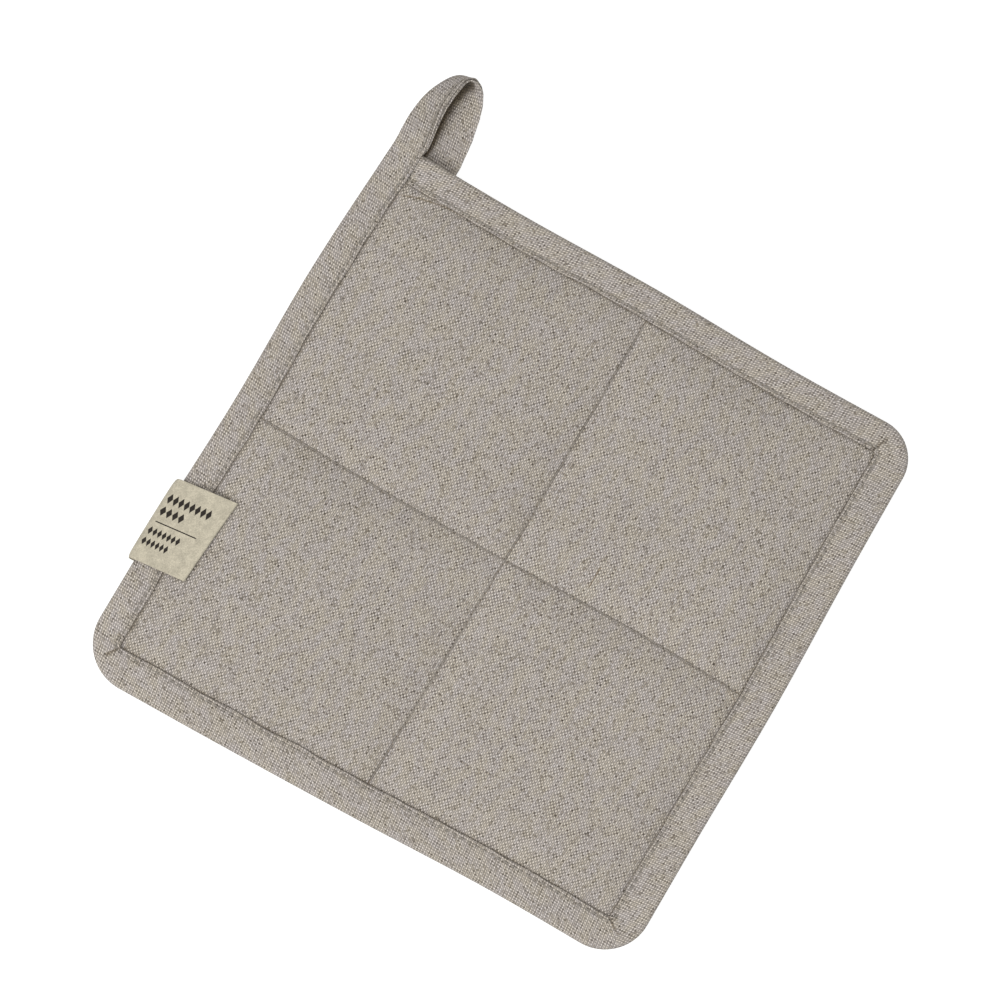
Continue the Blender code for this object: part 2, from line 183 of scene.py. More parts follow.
def side_y(side, x):
    """The pad's bottom (-1) or top (1) edge at a place along it."""
    drift = BOTTOM_DRIFT if side < 0 else TOP_DRIFT
    return side * (PAD_LENGTH / 2 + along(drift, x / PAD_WIDTH + 0.5))


def lip_x(side, y):
    return side_x(side, y) - side * (LEFT_BINDING if side < 0 else RIGHT_BINDING)


def lip_y(side, x):
    return side_y(side, x) - side * (BOTTOM_BINDING if side < 0 else TOP_BINDING)


def corner_arc(across, up, edge_x, edge_y, radius):
    """The centre and the two half widths of the arc that rounds the corner of two edges."""
    x, y = across * PAD_WIDTH / 2, up * PAD_LENGTH / 2
    for _ in range(CORNER_PASSES):
        x, y = edge_x(across, y), edge_y(up, x)
    x, y = x - across * radius, y - up * radius
    return Vector((x, y)), Vector((edge_x(across, y) - x, edge_y(up, x) - y))


def on_arc(arc, degrees):
    """A point of a corner's arc: 0 meets the left or right edge, 90 the bottom or top one."""
    centre, reach = arc
    turn = math.radians(degrees)
    return centre + Vector((reach.x * math.cos(turn), reach.y * math.sin(turn)))


EDGE_ARCS = {
    corner: corner_arc(*corner, side_x, side_y, radius)
    for corner, radius in CORNER_RADII.items()
}
LIP_ARCS = {corner: corner_arc(*corner, lip_x, lip_y, LIP_RADIUS) for corner in CORNER_RADII}


def outline_x(side, y):
    """The left or right edge with its rounded corners, at a place along it."""
    for up in (-1, 1):
        centre, reach = EDGE_ARCS[side, up]
        share = (y - centre.y) / reach.y
        if share > 0:
            return centre.x + reach.x * math.sqrt(max(0.0, 1 - share * share))
    return side_x(side, y)


def outline_y(side, x):
    """The bottom or top edge with its rounded corners, at a place along it."""
    for across in (-1, 1):
        centre, reach = EDGE_ARCS[across, side]
        share = (x - centre.x) / reach.x
        if share > 0:
            return centre.y + reach.y * math.sqrt(max(0.0, 1 - share * share))
    return side_y(side, x)


def quilt_x(y):
    return along(LENGTHWISE_WANDER, y / PAD_LENGTH + 0.5)


def quilt_y(x):
    return along(CROSSWISE_WANDER, x / PAD_WIDTH + 0.5)


def pad_point(across, up):
    """A place inside the binding, from shares of -1 to 1 that are 0 on the quilting lines."""
    x, y = across * PAD_WIDTH / 2, up * PAD_LENGTH / 2
    for _ in range(CORNER_PASSES):
        edge = lip_x(1 if across > 0 else -1, y)
        x = quilt_x(y) + abs(across) * (edge - quilt_x(y))
        edge = lip_y(1 if up > 0 else -1, x)
        y = quilt_y(x) + abs(up) * (edge - quilt_y(x))
    return x, y


def pad_middle():
    """Where the pad's own middle lies in the frame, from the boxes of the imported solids."""
    strip_low, strip_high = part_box("edge_binding")
    steps = [step / SIDE_STATIONS - 0.5 for step in range(SIDE_STATIONS + 1)]
    right = max(outline_x(1, step * PAD_LENGTH) for step in steps)
    bottom = min(outline_y(-1, step * PAD_WIDTH) for step in steps)
    level = (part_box("front_panel")[1].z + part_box("back_panel")[0].z) / 2
    return Vector((strip_high.x - right, strip_low.y - bottom, level))


PAD_MIDDLE = pad_middle()


# Settings

Length = partial(FloatProperty, unit="LENGTH", precision=6)
Colour = partial(FloatVectorProperty, subtype="COLOR", size=3, min=0.0, max=1.0)


class PotHolderCloth(bpy.types.PropertyGroup):
    """Sizes of the woven cloth, and how it swells."""

    warp_pitch: Length(
        name="Warp pitch", description="From one lengthwise thread to the next", default=0.000628,
    )
    weft_pitch: Length(
        name="Weft pitch", description="From one crosswise thread to the next", default=0.000703,
    )
    pressure: FloatProperty(
        name="Pressure", description="How hard the wadding pushes the cloth out",
        default=4.0, min=0.0,
    )
    spare: FloatProperty(
        name="Spare cloth", description="Share of extra cloth that the seams gather into puckers",
        default=0.008, min=0.0, max=0.05, subtype="FACTOR",
    )
    most_swell: Length(
        name="Most swell", description="The furthest that any point of the cloth may move",
        default=0.0012,
    )


class PotHolderStitches(bpy.types.PropertyGroup):
    """Sizes and colours of the sewing."""

    pitch: Length(name="Pitch", description="From one stitch to the next", default=STITCH_PITCH)
    length: Length(
        name="Length", description="Length of thread seen between two needle holes", default=0.0023,
    )
    radius: Length(name="Radius", description="Half the thread's thickness", default=0.00019)
    colour: Colour(
        name="Colour", description="Colour of the binding's thread", default=(0.33, 0.30, 0.26),
    )
    # The quilting thread is real, but its dark colour is painted shade of the groove it lies in
    quilting_shade_colour: Colour(
        name="Quilting colour", description="Colour of the quilting's thread",
        default=(0.10, 0.078, 0.050),
    )


class PotHolderLabel(bpy.types.PropertyGroup):
    """Colours of the label."""

    tape: Colour(name="Tape", description="Colour of the tape", default=(0.610, 0.556, 0.430))
    ink: Colour(
        name="Ink", description="Colour of the printed pattern", default=(0.022, 0.017, 0.013),
    )


class PotHolderStage(bpy.types.PropertyGroup):
    """The camera and the lights."""

    turn: FloatProperty(
        name="Turn", description="How far the camera is turned about the upright",
        default=math.radians(29.76), subtype="ANGLE",
    )
    aim: FloatVectorProperty(
        name="Aim", description="The point of the pad under the middle of the picture",
        default=(-0.00951, 0.01447, 0.002), size=3, subtype="XYZ_LENGTH",
    )
    view_width: Length(
        name="View width", description="Width of the table that the picture shows", default=0.3254,
    )
    height: Length(
        name="Height", description="Height of the camera above the pad", default=2.0,
    )
    key_share: FloatProperty(
        name="Key share", description="Share of the light that comes from the lamp",
        default=0.31, min=0.0, max=1.0, subtype="FACTOR",
    )


# Node helper

class Graph:
    """Adds nodes to a tree and links them, so that a tree reads from top to bottom."""

    def __init__(self, tree):
        self.tree = tree

    def node(self, kind, inputs=(), **settings):
        """A node with its settings, and its inputs by name or, in a list, by place."""
        made = self.tree.nodes.new(kind)
        for name, value in settings.items():
            setattr(made, name, value)
        pairs = inputs.items() if isinstance(inputs, dict) else enumerate(inputs)
        for key, value in pairs:
            if isinstance(value, bpy.types.NodeSocket):
                self.tree.links.new(value, made.inputs[key])
            elif value is not None:
                made.inputs[key].default_value = value
        return made

    def feed(self, node, values):
        """Links values to the named inputs of a node."""
        for name, value in values.items():
            self.tree.links.new(value, node.inputs[name])

    def attribute(self, name):
        return self.node("ShaderNodeAttribute", attribute_name=name).outputs["Fac"]

    def math(self, operation, *values):
        return self.node("ShaderNodeMath", values, operation=operation).outputs[0]

    def chain(self, operation, first, *others):
        """One operation over two or more values, from left to right."""
        for other in others:
            first = self.math(operation, first, other)
        return first

    def times(self, *values):
        return self.chain("MULTIPLY", *values)

    def most(self, *values):
        return self.chain("MAXIMUM", *values)

    def minus(self, first, second):
        return self.math("SUBTRACT", first, second)

    def over(self, first, second):
        return self.math("DIVIDE", first, second)

    def size(self, value):
        """The value without its sign."""
        return self.math("ABSOLUTE", value)

    def line(self, value, slope, start):
        """The value times the slope, plus the start."""
        return self.math("MULTIPLY_ADD", value, slope, start)

    def centred(self, value):
        """A value from 0 to 1 as one from -1 to 1."""
        return self.line(value, 2.0, -1.0)

    def dim(self, value, mask, depth):
        """The value, lowered by that share of itself where the mask is 1."""
        return self.times(value, self.line(mask, -depth, 1.0))

    def ease(self, value, low, high, start=0.0, end=1.0):
        """The value's way from low to high, eased, as start to end."""
        made = self.node(
            "ShaderNodeMapRange", [value, low, high, start, end],
            interpolation_type="SMOOTHSTEP",
        )
        return made.outputs[0]

    def band(self, value, stops):
        """1 between the middle two of four stops, 0 beyond the outer ones, and eased between."""
        rise, full, fade, gone = stops
        return self.times(self.ease(value, rise, full), self.ease(value, fade, gone, 1.0, 0.0))

    def vector(self, operation, *values):
        return self.node("ShaderNodeVectorMath", values, operation=operation).outputs[0]

    def scale(self, vector, factor):
        """A vector or a colour times one number."""
        inputs = {0: vector, "Scale": factor}
        return self.node("ShaderNodeVectorMath", inputs, operation="SCALE").outputs[0]

    def split(self, vector):
        return self.node("ShaderNodeSeparateXYZ", [vector]).outputs

    def join(self, x, y, z):
        return self.node("ShaderNodeCombineXYZ", [x, y, z]).outputs[0]

    def noise(self, vector, scale, detail=1.0):
        return self.node(
            "ShaderNodeTexNoise", {"Vector": vector, "Scale": scale, "Detail": detail}
        ).outputs

    def ramp(self, value, stops):
        """A colour ramp from its (place, colour) stops."""
        made = self.node("ShaderNodeValToRGB", [value])
        elements = made.color_ramp.elements
        while len(elements) < len(stops):
            elements.new(0.5)
        for element, (place, colour) in zip(elements, stops):
            element.position = place
            element.color = (*colour, 1)
        return made.outputs[0]

    def mix(self, share, first, second):
        """Two colours, mixed: the first at 0 and the second at 1."""
        made = self.node(
            "ShaderNodeMix", {0: share, 6: first, 7: second}, data_type="RGBA", clamp_factor=True
        )
        return made.outputs[2]

    def bump(self, height, strength, distance):
        inputs = {"Height": height, "Strength": strength, "Distance": distance}
        return self.node("ShaderNodeBump", inputs).outputs[0]


def new_group(name, kind, inputs, outputs):
    """An empty node group: (graph, what comes in, the node that takes results).

    Each socket is a float's name, or a name and its type.
    """
    tree = bpy.data.node_groups.new(name, kind)
    for direction, sockets in (("INPUT", inputs), ("OUTPUT", outputs)):
        for socket in sockets:
            socket_name, socket_type = (socket, "Float") if isinstance(socket, str) else socket
            tree.interface.new_socket(
                socket_name, in_out=direction, socket_type="NodeSocket" + socket_type
            )
    graph = Graph(tree)
    return graph, graph.node("NodeGroupInput").outputs, graph.node("NodeGroupOutput")


def use_group(graph, name, build, inputs):
    """What comes out of the shader group of that name, which is built on its first use."""
    tree = bpy.data.node_groups.get(name) or build(name)
    return graph.node("ShaderNodeGroup", inputs, node_tree=tree).outputs


# Shader groups

# How the threads wander, slowly and quickly, and how round they are
SLOW_SCALE = 70.0
QUICK_SCALE = 620.0
SLOW_WANDER = 3.0
THREAD_ROUNDING = 0.35
WEFT_SUNK = 0.35
# The gaps beside the threads, where the colour is darkened as painted shade: where they start and end,
# from 0 at a thread's middle to 1 beside it
WARP_GAP = (0.60, 1.0)
WEFT_GAP = (0.64, 1.0, 0.0, 0.6)
# How the yarn's colour varies: from tuft to tuft, along a thread and in wide patches
TUFT_SHARE = 0.62
SPUN_ACROSS = 3.31
SPUN_ALONG = 0.31
SPUN_RANGE = (0.22, 0.78)
WEFT_SEED = 91.7
PATCH_SCALE = (260.0, 120.0)
PATCH_SEED = 5.0
PATCH_RANGE = (0.33, 0.67)
# The fibres on each thread: how they lie across and along it, and how far they stand out
FIBRE_ACROSS = 2.4
FIBRE_LEAN = 1.7
FIBRE_ALONG = 0.8
FIBRE_SEED = 37.0
FIBRE_SCALE = 1.6
FIBRE_RELIEF = 0.25
# The dot where a weft thread is on top, painted darker, partly as the sunk thread's shade and partly as
# the yarn's tone: where it fades, and how it varies with the tuft
DOT_FADE = (0.15, 1.0)
DOT_TUFT = (-0.5, 1.25)
# A needle hole's soft edge and its dimple's reach, in radii, and the soft edge of the print
HOLE_EDGE = (0.5, 1.3)
DIMPLE_REACH = 3.6
INK_EDGE = (0.93, 1.07)
ROW_SOCKETS = ("Left", "Right", "Level", "Half Height", "Pitch", "Fill", "Diamond")


def build_weave(name):
    """A plain weave over a flat map in metres: each cell shows the thread that is on top there."""
    graph, given, result = new_group(
        name,
        "ShaderNodeTree",
        [("Vector", "Vector"), "Across Pitch", "Along Pitch", "Wander"],
        ["Height", "Melange", "Hollow", "Dot", "Pair", "Fibre", "Tone"],
    )
    slow, quick = [
        graph.vector("SUBTRACT", graph.noise(given["Vector"], scale)["Color"], (0.5, 0.5, 0.5))
        for scale in (SLOW_SCALE, QUICK_SCALE)
    ]
    both = graph.vector("MULTIPLY_ADD", slow, (SLOW_WANDER,) * 3, quick)
    shift = graph.scale(both, given["Wander"])
    x, y, _ = graph.split(graph.vector("ADD", given["Vector"], shift))
    u, v = graph.over(x, given["Across Pitch"]), graph.over(y, given["Along Pitch"])
    column, row = graph.math("FLOOR", u), graph.math("FLOOR", v)
    in_u, in_v = graph.minus(u, column), graph.minus(v, row)
    weft = graph.math("FLOORED_MODULO", graph.math("ADD", column, row), 2.0)

    def pick(warp_value, weft_value):
        """The first value where a warp thread is on top, and the second where a weft one is."""
        return graph.line(weft, graph.minus(weft_value, warp_value), warp_value)

    across, length = graph.centred(pick(in_u, in_v)), graph.centred(pick(in_v, in_u))
    thread, run = pick(column, row), pick(v, u)
    round_across = graph.minus(1.0, graph.times(across, across))
    round_along = graph.minus(1.0, graph.times(length, length))
    dome = graph.line(round_along, 0.5, 0.5)
    height = graph.times(graph.math("POWER", round_across, THREAD_ROUNDING), dome)
    height = graph.dim(height, weft, WEFT_SUNK)
    beside_warp, beside_weft = graph.size(graph.centred(in_u)), graph.size(graph.centred(in_v))
    inside = graph.ease(graph.most(beside_warp, beside_weft), *DOT_FADE, 1.0, 0.0)

    tuft = graph.node(
        "ShaderNodeTexWhiteNoise", [graph.join(column, row, weft)], noise_dimensions="3D"
    ).outputs["Value"]
    spun_across = graph.line(weft, WEFT_SEED, graph.times(thread, SPUN_ACROSS))
    spun = graph.join(spun_across, graph.times(run, SPUN_ALONG), 0.0)
    spun = graph.ease(graph.noise(spun, 1.0, 2.0)["Fac"], *SPUN_RANGE)
    patch = graph.join(
        graph.times(x, PATCH_SCALE[0]), graph.times(y, PATCH_SCALE[1]), PATCH_SEED
    )
    twist = graph.join(
        graph.line(across, FIBRE_ACROSS, graph.times(length, FIBRE_LEAN)),
        graph.times(length, FIBRE_ALONG),
        graph.times(tuft, FIBRE_SEED),
    )
    fibre = graph.noise(twist, FIBRE_SCALE, 2.0)["Fac"]
    graph.feed(result, {
        "Height": graph.line(fibre, FIBRE_RELIEF, height),
        "Melange": graph.line(tuft, TUFT_SHARE, graph.times(spun, 1.0 - TUFT_SHARE)),
        "Hollow": graph.most(graph.ease(beside_warp, *WARP_GAP), graph.ease(beside_weft, *WEFT_GAP)),
        "Dot": graph.times(weft, inside, graph.line(tuft, *DOT_TUFT)),
        "Pair": graph.math("FLOORED_MODULO", column, 2.0),
        "Fibre": fibre,
        "Tone": graph.ease(graph.noise(patch, 1.0, 2.0)["Fac"], *PATCH_RANGE),
    })
    return graph.tree


def build_needle_holes(name):
    """Needle holes and the dimples round them.

    Off is the way from the seam, and Run counts the stitches so far.
    """
    graph, given, result = new_group(
        name, "ShaderNodeTree", ["Off", "Run", "Pitch", "Radius"], ["Hole", "Dimple"]
    )
    step = graph.minus(graph.math("FLOORED_MODULO", given["Run"], 1.0), 0.5)
    from_hole = graph.join(given["Off"], graph.times(step, given["Pitch"]), 0.0)
    distance = graph.node("ShaderNodeVectorMath", [from_hole], operation="LENGTH").outputs["Value"]
    share = graph.over(distance, given["Radius"])
    graph.feed(result, {
        "Hole": graph.ease(share, *HOLE_EDGE, 1.0, 0.0),
        "Dimple": graph.ease(share, 0.0, DIMPLE_REACH, 1.0, 0.0),
    })
    return graph.tree


def build_printed_row(name):
    """A row of diamonds (or of blocks, where Diamond is 0) over a flat map in metres."""
    graph, given, result = new_group(
        name, "ShaderNodeTree", [("Vector", "Vector"), *ROW_SOCKETS], ["Ink"]
    )
    x, y, _ = graph.split(given["Vector"])
    place = graph.over(graph.minus(x, given["Left"]), given["Pitch"])
    cell = graph.math("FLOORED_MODULO", place, 1.0)
    wide = graph.over(graph.size(graph.centred(cell)), given["Fill"])
    high = graph.over(graph.size(graph.minus(y, given["Level"])), given["Half Height"])
    block = graph.most(wide, high)
    diamond = graph.math("ADD", wide, high)
    shape = graph.line(given["Diamond"], graph.minus(diamond, block), block)
    inside = graph.ease(shape, *INK_EDGE, 1.0, 0.0)
    after = graph.math("GREATER_THAN", x, given["Left"])
    before = graph.math("LESS_THAN", x, given["Right"])
    graph.feed(result, {"Ink": graph.times(inside, graph.times(after, before))})
    return graph.tree


def use_weave(graph, place, across_pitch, along_pitch, wander):
    return use_group(graph, "plain_weave", build_weave, {
        "Vector": place, "Across Pitch": across_pitch, "Along Pitch": along_pitch, "Wander": wander,
    })


# Materials

# Roughness and sheen
CLOTH_FINISH = (0.95, 0.12)
TAPE_FINISH = (0.85, 0.08)
THREAD_FINISH = (0.8, 0.2)
WADDING_FINISH = (1.0, 0.1)
# The cloth's colours, from its darkest tufts to its lightest, and its two tints
CLOTH_RAMP = (
    (0.00, (0.140, 0.116, 0.090)),
    (0.12, (0.350, 0.307, 0.256)),
    (0.30, (0.500, 0.452, 0.396)),
    (0.50, (0.580, 0.527, 0.470)),
    (0.78, (0.590, 0.544, 0.494)),
    (1.00, (0.604, 0.565, 0.526)),
)
COOL_TINT = (1.005, 0.998, 1.030, 1.0)
WARM_TINT = (1.030, 1.012, 0.960, 1.0)
# How much darker the weft dots are painted, partly as shade of the sunk thread and partly as the yarn's
# tone, and how far the rest is lifted to make up for them
DOT_DEPTH = 0.90
DOT_LIFT = DOT_DEPTH / 3.7
# How much painted shade darkens the gaps between threads
HOLLOW_SHADE_DEPTH = 0.98
# Slope and start of the tone that every second thread, the fibres and the slow clouds give
PAIR_TONE = (0.08, 0.96)
FIBRE_TONE = (0.30, 0.85)
PANEL_CLOUD_TONE = (0.10, 0.95)
BINDING_CLOUD_TONE = (0.10, 0.975)
PANEL_CLOUD_SCALE = 24.0
BINDING_CLOUD_SCALE = 30.0
WEAVE_RELIEF = 0.00017
WANDER = 0.00022
GRAIN_TURN = math.radians(2.2)
BIAS_TURN = math.radians(45)
BIAS_STRETCH = (0.95, 1.12, 1.0)
# A needle hole's radius and the painted shade inside it, and then its dimple's depth
HOLE_RADIUS = 0.00030
HOLE_SHADE = 0.6
DIMPLE_DEPTH = 0.00022
# The tint of the painted shade in creases, needle holes, seams and lips, which the panel's slub of darker
# yarn takes too, and how much the strip's painted crease shade darkens it
SHADE_AND_SLUB_TINT = (0.47, 0.395, 0.285)
CREASE_SHADE = 0.5
# The painted shade beside the binding: a dark line in the panel and a soft shade that spreads from it, and
# a fainter painted shade line on the binding's own lip
LIP_WIDTH = (0.00005, 0.00080)
LIP_CREASE = 0.68
LIP_SPREAD = 0.0018
LIP_SHADE = 0.86
BINDING_LIP = (0.0, 0.0003, 0.10, 0.0)
# Each seam's painted shade line: half its width, how much of the shade tint it takes, and how far the soft
# painted shade beside it reaches
LENGTHWISE_LINE = (0.00040, 1.0, 0.0007)
CROSSWISE_LINE = (0.00042, 0.75, 0.0010)
# How light the soft painted shade beside a seam leaves the cloth, and how much more the line itself
# darkens it
SEAM_SHADE = 0.94
SEAM_LINE_SHADE = 0.15
# How a seam's painted line sways, and how the panel's painted crease shade comes and goes
SEAM_SWAY = 0.0005
SWAY_SCALE = 260.0
UNEVEN_SCALE = 130.0
UNEVEN_RANGE = (0.30, 0.70, 0.55, 1.0)
# Where the crosswise line nearly closes, left of the middle, and how much of it stays
CLOSED_SEAM = (-0.036, -0.026, -0.001, 0.004)
CLOSED_SEAM_SHARE = 0.4
# A thicker, darker bit of yarn in the panels: its middle in the pad's plane, half its length and
# half its width
SLUB = (0.02970, 0.00795, 0.0043, 0.00032)
SLUB_DEPTH = 0.75
SLUB_TAPER = 0.8
# Half the width of the painted shade line under a small fold: where it starts to fade and where it ends
TUCK_LINE = (0.00005, 0.00056)
# The painted shade line in the valley under the binding's stitches: as above, then its depth and what the
# loop's leg adds
STITCH_LINE = (0.00005, 0.00028)
STITCH_LINE_DEPTH = (0.08, 0.30)
# Where the loop's front leg is painted darker as shade along the strip: it begins, is full, starts to
# fade, ends
SHADED_LEG = (0.100, 0.112, 0.128, 0.142)
SHADED_LEG_DEPTH = 0.11


def new_material(name, roughness, sheen=0.0):
    """A material, its graph and its shader, with what is the same all over set on the shader."""
    material = bpy.data.materials.new(name)
    material.use_nodes = True
    shader = material.node_tree.nodes["Principled BSDF"]
    shader.inputs["Roughness"].default_value = roughness
    shader.inputs["Sheen Weight"].default_value = sheen
    shader.inputs["Sheen Roughness"].default_value = 0.6
    shader.inputs["Specular IOR Level"].default_value = 0.25
    return material, Graph(material.node_tree), shader


def finish_cloth(graph, shader, weave, marks, shade, crease):
    """Colours and bumps a woven material from its weave and its needle marks, and paints shade into its
    colour in its hollows, needle holes and creases.
    """
    tint = graph.mix(weave["Tone"], COOL_TINT, WARM_TINT)
    colour = graph.vector("MULTIPLY", graph.ramp(weave["Melange"], CLOTH_RAMP), tint)
    # Painted shade, tinted, in the creases and in each needle hole
    crease = graph.most(crease, graph.times(marks["Hole"], HOLE_SHADE))
    colour = graph.mix(crease, colour, graph.vector("MULTIPLY", colour, SHADE_AND_SLUB_TINT))
    level = graph.times(
        # Weft dots painted darker, partly shade and partly tone
        graph.line(weave["Dot"], -DOT_DEPTH, 1.0 + DOT_LIFT),
        graph.line(weave["Pair"], *PAIR_TONE),
        graph.line(weave["Fibre"], *FIBRE_TONE),
        shade,
    )
    # Painted shade in the gaps between threads
    level = graph.dim(level, weave["Hollow"], HOLLOW_SHADE_DEPTH)
    height = graph.line(marks["Hole"], -1.0, weave["Height"])
    height = graph.line(marks["Dimple"], -DIMPLE_DEPTH / WEAVE_RELIEF, height)
    graph.feed(shader, {
        "Base Color": graph.scale(colour, level),
        "Normal": graph.bump(height, 1.0, WEAVE_RELIEF),
    })


def panel_material(lengthwise, crosswise):
    """The panels' straight-grain cloth. Each seam gives where it starts and its stitch pitch."""
    cloth = bpy.context.scene.pot_holder_cloth
    material, graph, shader = new_material("panel_cloth", *CLOTH_FINISH)
    place = graph.node("ShaderNodeTexCoord").outputs["Object"]
    grain = graph.node("ShaderNodeMapping", {"Vector": place, "Rotation": (0, 0, GRAIN_TURN)})
    weave = use_weave(graph, grain.outputs[0], cloth.warp_pitch, cloth.weft_pitch, WANDER)
    x, y, _ = graph.split(place)
    cloud = graph.noise(place, PANEL_CLOUD_SCALE, 2.0)["Fac"]
    # Painted shade beside the binding's lip: a dark line and a softer spread
    lip = graph.attribute("from_lip")
    crease = graph.ease(lip, *LIP_WIDTH, LIP_CREASE, 0.0)
    shade = graph.times(
        graph.line(cloud, *PANEL_CLOUD_TONE), graph.ease(lip, 0.0, LIP_SPREAD, LIP_SHADE, 1.0)
    )

    slub_x, slub_y, half_length, half_width = SLUB
    beside = graph.size(graph.minus(x, PAD_MIDDLE.x + slub_x))
    beyond = graph.size(graph.minus(y, PAD_MIDDLE.y + slub_y))
    slub_and_tuck_shade = graph.times(
        graph.ease(beside, half_width / 2, half_width, SLUB_DEPTH, 0.0),
        graph.ease(beyond, half_length * SLUB_TAPER, half_length, 1.0, 0.0),
    )
    # Painted shade under the small folds, joined to the slub's darker yarn
    tuck_shade = graph.ease(graph.size(graph.attribute("from_tuck")), *TUCK_LINE, 1.0, 0.0)
    slub_and_tuck_shade = graph.most(slub_and_tuck_shade, graph.times(tuck_shade, graph.attribute("tuck_depth")))

    sway = graph.line(graph.noise(place, SWAY_SCALE)["Fac"], SEAM_SWAY, -SEAM_SWAY / 2)
    closed = graph.band(x, [PAD_MIDDLE.x + stop for stop in CLOSED_SEAM])
    closed = graph.line(closed, CLOSED_SEAM_SHARE - 1.0, 1.0)
    marks = []
    for name, run, (start, pitch), (width, depth, spread), share in (
        ("from_lengthwise_seam", y, lengthwise, LENGTHWISE_LINE, 1.0),
        ("from_crosswise_seam", x, crosswise, CROSSWISE_LINE, closed),
    ):
        off = graph.attribute(name)
        marks.append(use_group(graph, "needle_holes", build_needle_holes, {
            "Off": off, "Run": graph.over(graph.minus(run, start), pitch), "Pitch": pitch,
            "Radius": HOLE_RADIUS,
        }))
        # Each seam's painted shade: a dark line in its groove and a soft spread beside it
        beside = graph.size(graph.math("ADD", off, sway))
        groove_shade = graph.times(graph.ease(beside, 0.1 * width, width, depth, 0.0), share)
        crease = graph.most(crease, groove_shade)
        shade = graph.times(shade, graph.ease(beside, 0.0, spread, SEAM_SHADE, 1.0))
        shade = graph.dim(shade, groove_shade, SEAM_LINE_SHADE)
    both = {name: graph.most(*(mark[name] for mark in marks)) for name in ("Hole", "Dimple")}
    uneven = graph.ease(graph.noise(place, UNEVEN_SCALE, 2.0)["Fac"], *UNEVEN_RANGE)
    crease = graph.most(graph.times(crease, uneven), slub_and_tuck_shade)
    finish_cloth(graph, shader, weave, both, shade, crease)
    return material


def binding_material(pitch):
    """The binding's bias-cut cloth, which reads the strip's own map."""
    cloth = bpy.context.scene.pot_holder_cloth
    material, graph, shader = new_material("binding_cloth", *CLOTH_FINISH)
    strip = graph.node("ShaderNodeUVMap", uv_map="strip").outputs[0]
    stretched = graph.vector("MULTIPLY", strip, BIAS_STRETCH)
    bias = graph.node("ShaderNodeMapping", {"Vector": stretched, "Rotation": (0, 0, BIAS_TURN)})
    weave = use_weave(graph, bias.outputs[0], cloth.warp_pitch, cloth.weft_pitch, WANDER)
    along_strip, off, _ = graph.split(strip)
    from_stitches = graph.minus(off, STITCH_INSET)
    marks = use_group(graph, "needle_holes", build_needle_holes, {
        "Off": from_stitches, "Run": graph.attribute("stitch_run"), "Pitch": pitch,
        "Radius": HOLE_RADIUS,
    })
    # The strip's painted shade from its crease attribute, along the mitre folds and under the loop
    crease = graph.attribute("crease")
    # The loop's front leg, painted darker as shade
    on_leg = graph.band(along_strip, SHADED_LEG)
    shade = graph.line(graph.noise(strip, BINDING_CLOUD_SCALE, 2.0)["Fac"], *BINDING_CLOUD_TONE)
    shade = graph.dim(graph.dim(shade, crease, CREASE_SHADE), on_leg, SHADED_LEG_DEPTH)
    # Painted shade along the valley of the binding's stitches, darker on the loop's front leg
    plain_depth, leg_depth = STITCH_LINE_DEPTH
    line = graph.ease(graph.size(from_stitches), *STITCH_LINE, 1.0, 0.0)
    line = graph.times(line, graph.line(on_leg, leg_depth, plain_depth))
    # Painted shade along the edge of the binding's own lip
    lip = graph.ease(graph.size(off), *BINDING_LIP)
    finish_cloth(graph, shader, weave, marks, shade, graph.most(lip, line, crease))
    return material


# Each printed row of the label: left, right, level, half height, pitch, fill, diamond
PRINTED_ROWS = (
    (-0.0012, 0.0140, 0.0078, 0.0019, 0.00190, 0.90, 1.0),
    (-0.0012, 0.0072, 0.0032, 0.0018, 0.00210, 0.90, 1.0),
    (-0.0006, 0.0140, -0.0008, 0.0002, 0.01460, 1.00, 0.0),
    (-0.0012, 0.0102, -0.0042, 0.0015, 0.00163, 0.88, 1.0),
    (-0.0012, 0.0082, -0.0081, 0.0015, 0.00157, 0.88, 1.0),
)
TAPE_PITCH = 0.00034
TAPE_RELIEF = 0.00005
TAPE_CLOUD_SCALE = 320.0
TAPE_CLOUDS = (0.87, 1.07)
# Slope and start of the painted shade that the weave's hollows give, and of the tone that its melange and
# the print's wear give
TAPE_HOLLOW_TONE = (-0.16, 1.02)
TAPE_MELANGE_TONE = (0.34, 0.78)
INK_TONE = (0.04, 0.96)
# The tape's front end: how wide its shaded edge is, and what of the colour stays there
END_SHADE_WIDTH = 0.0006
END_SHADE = 0.62


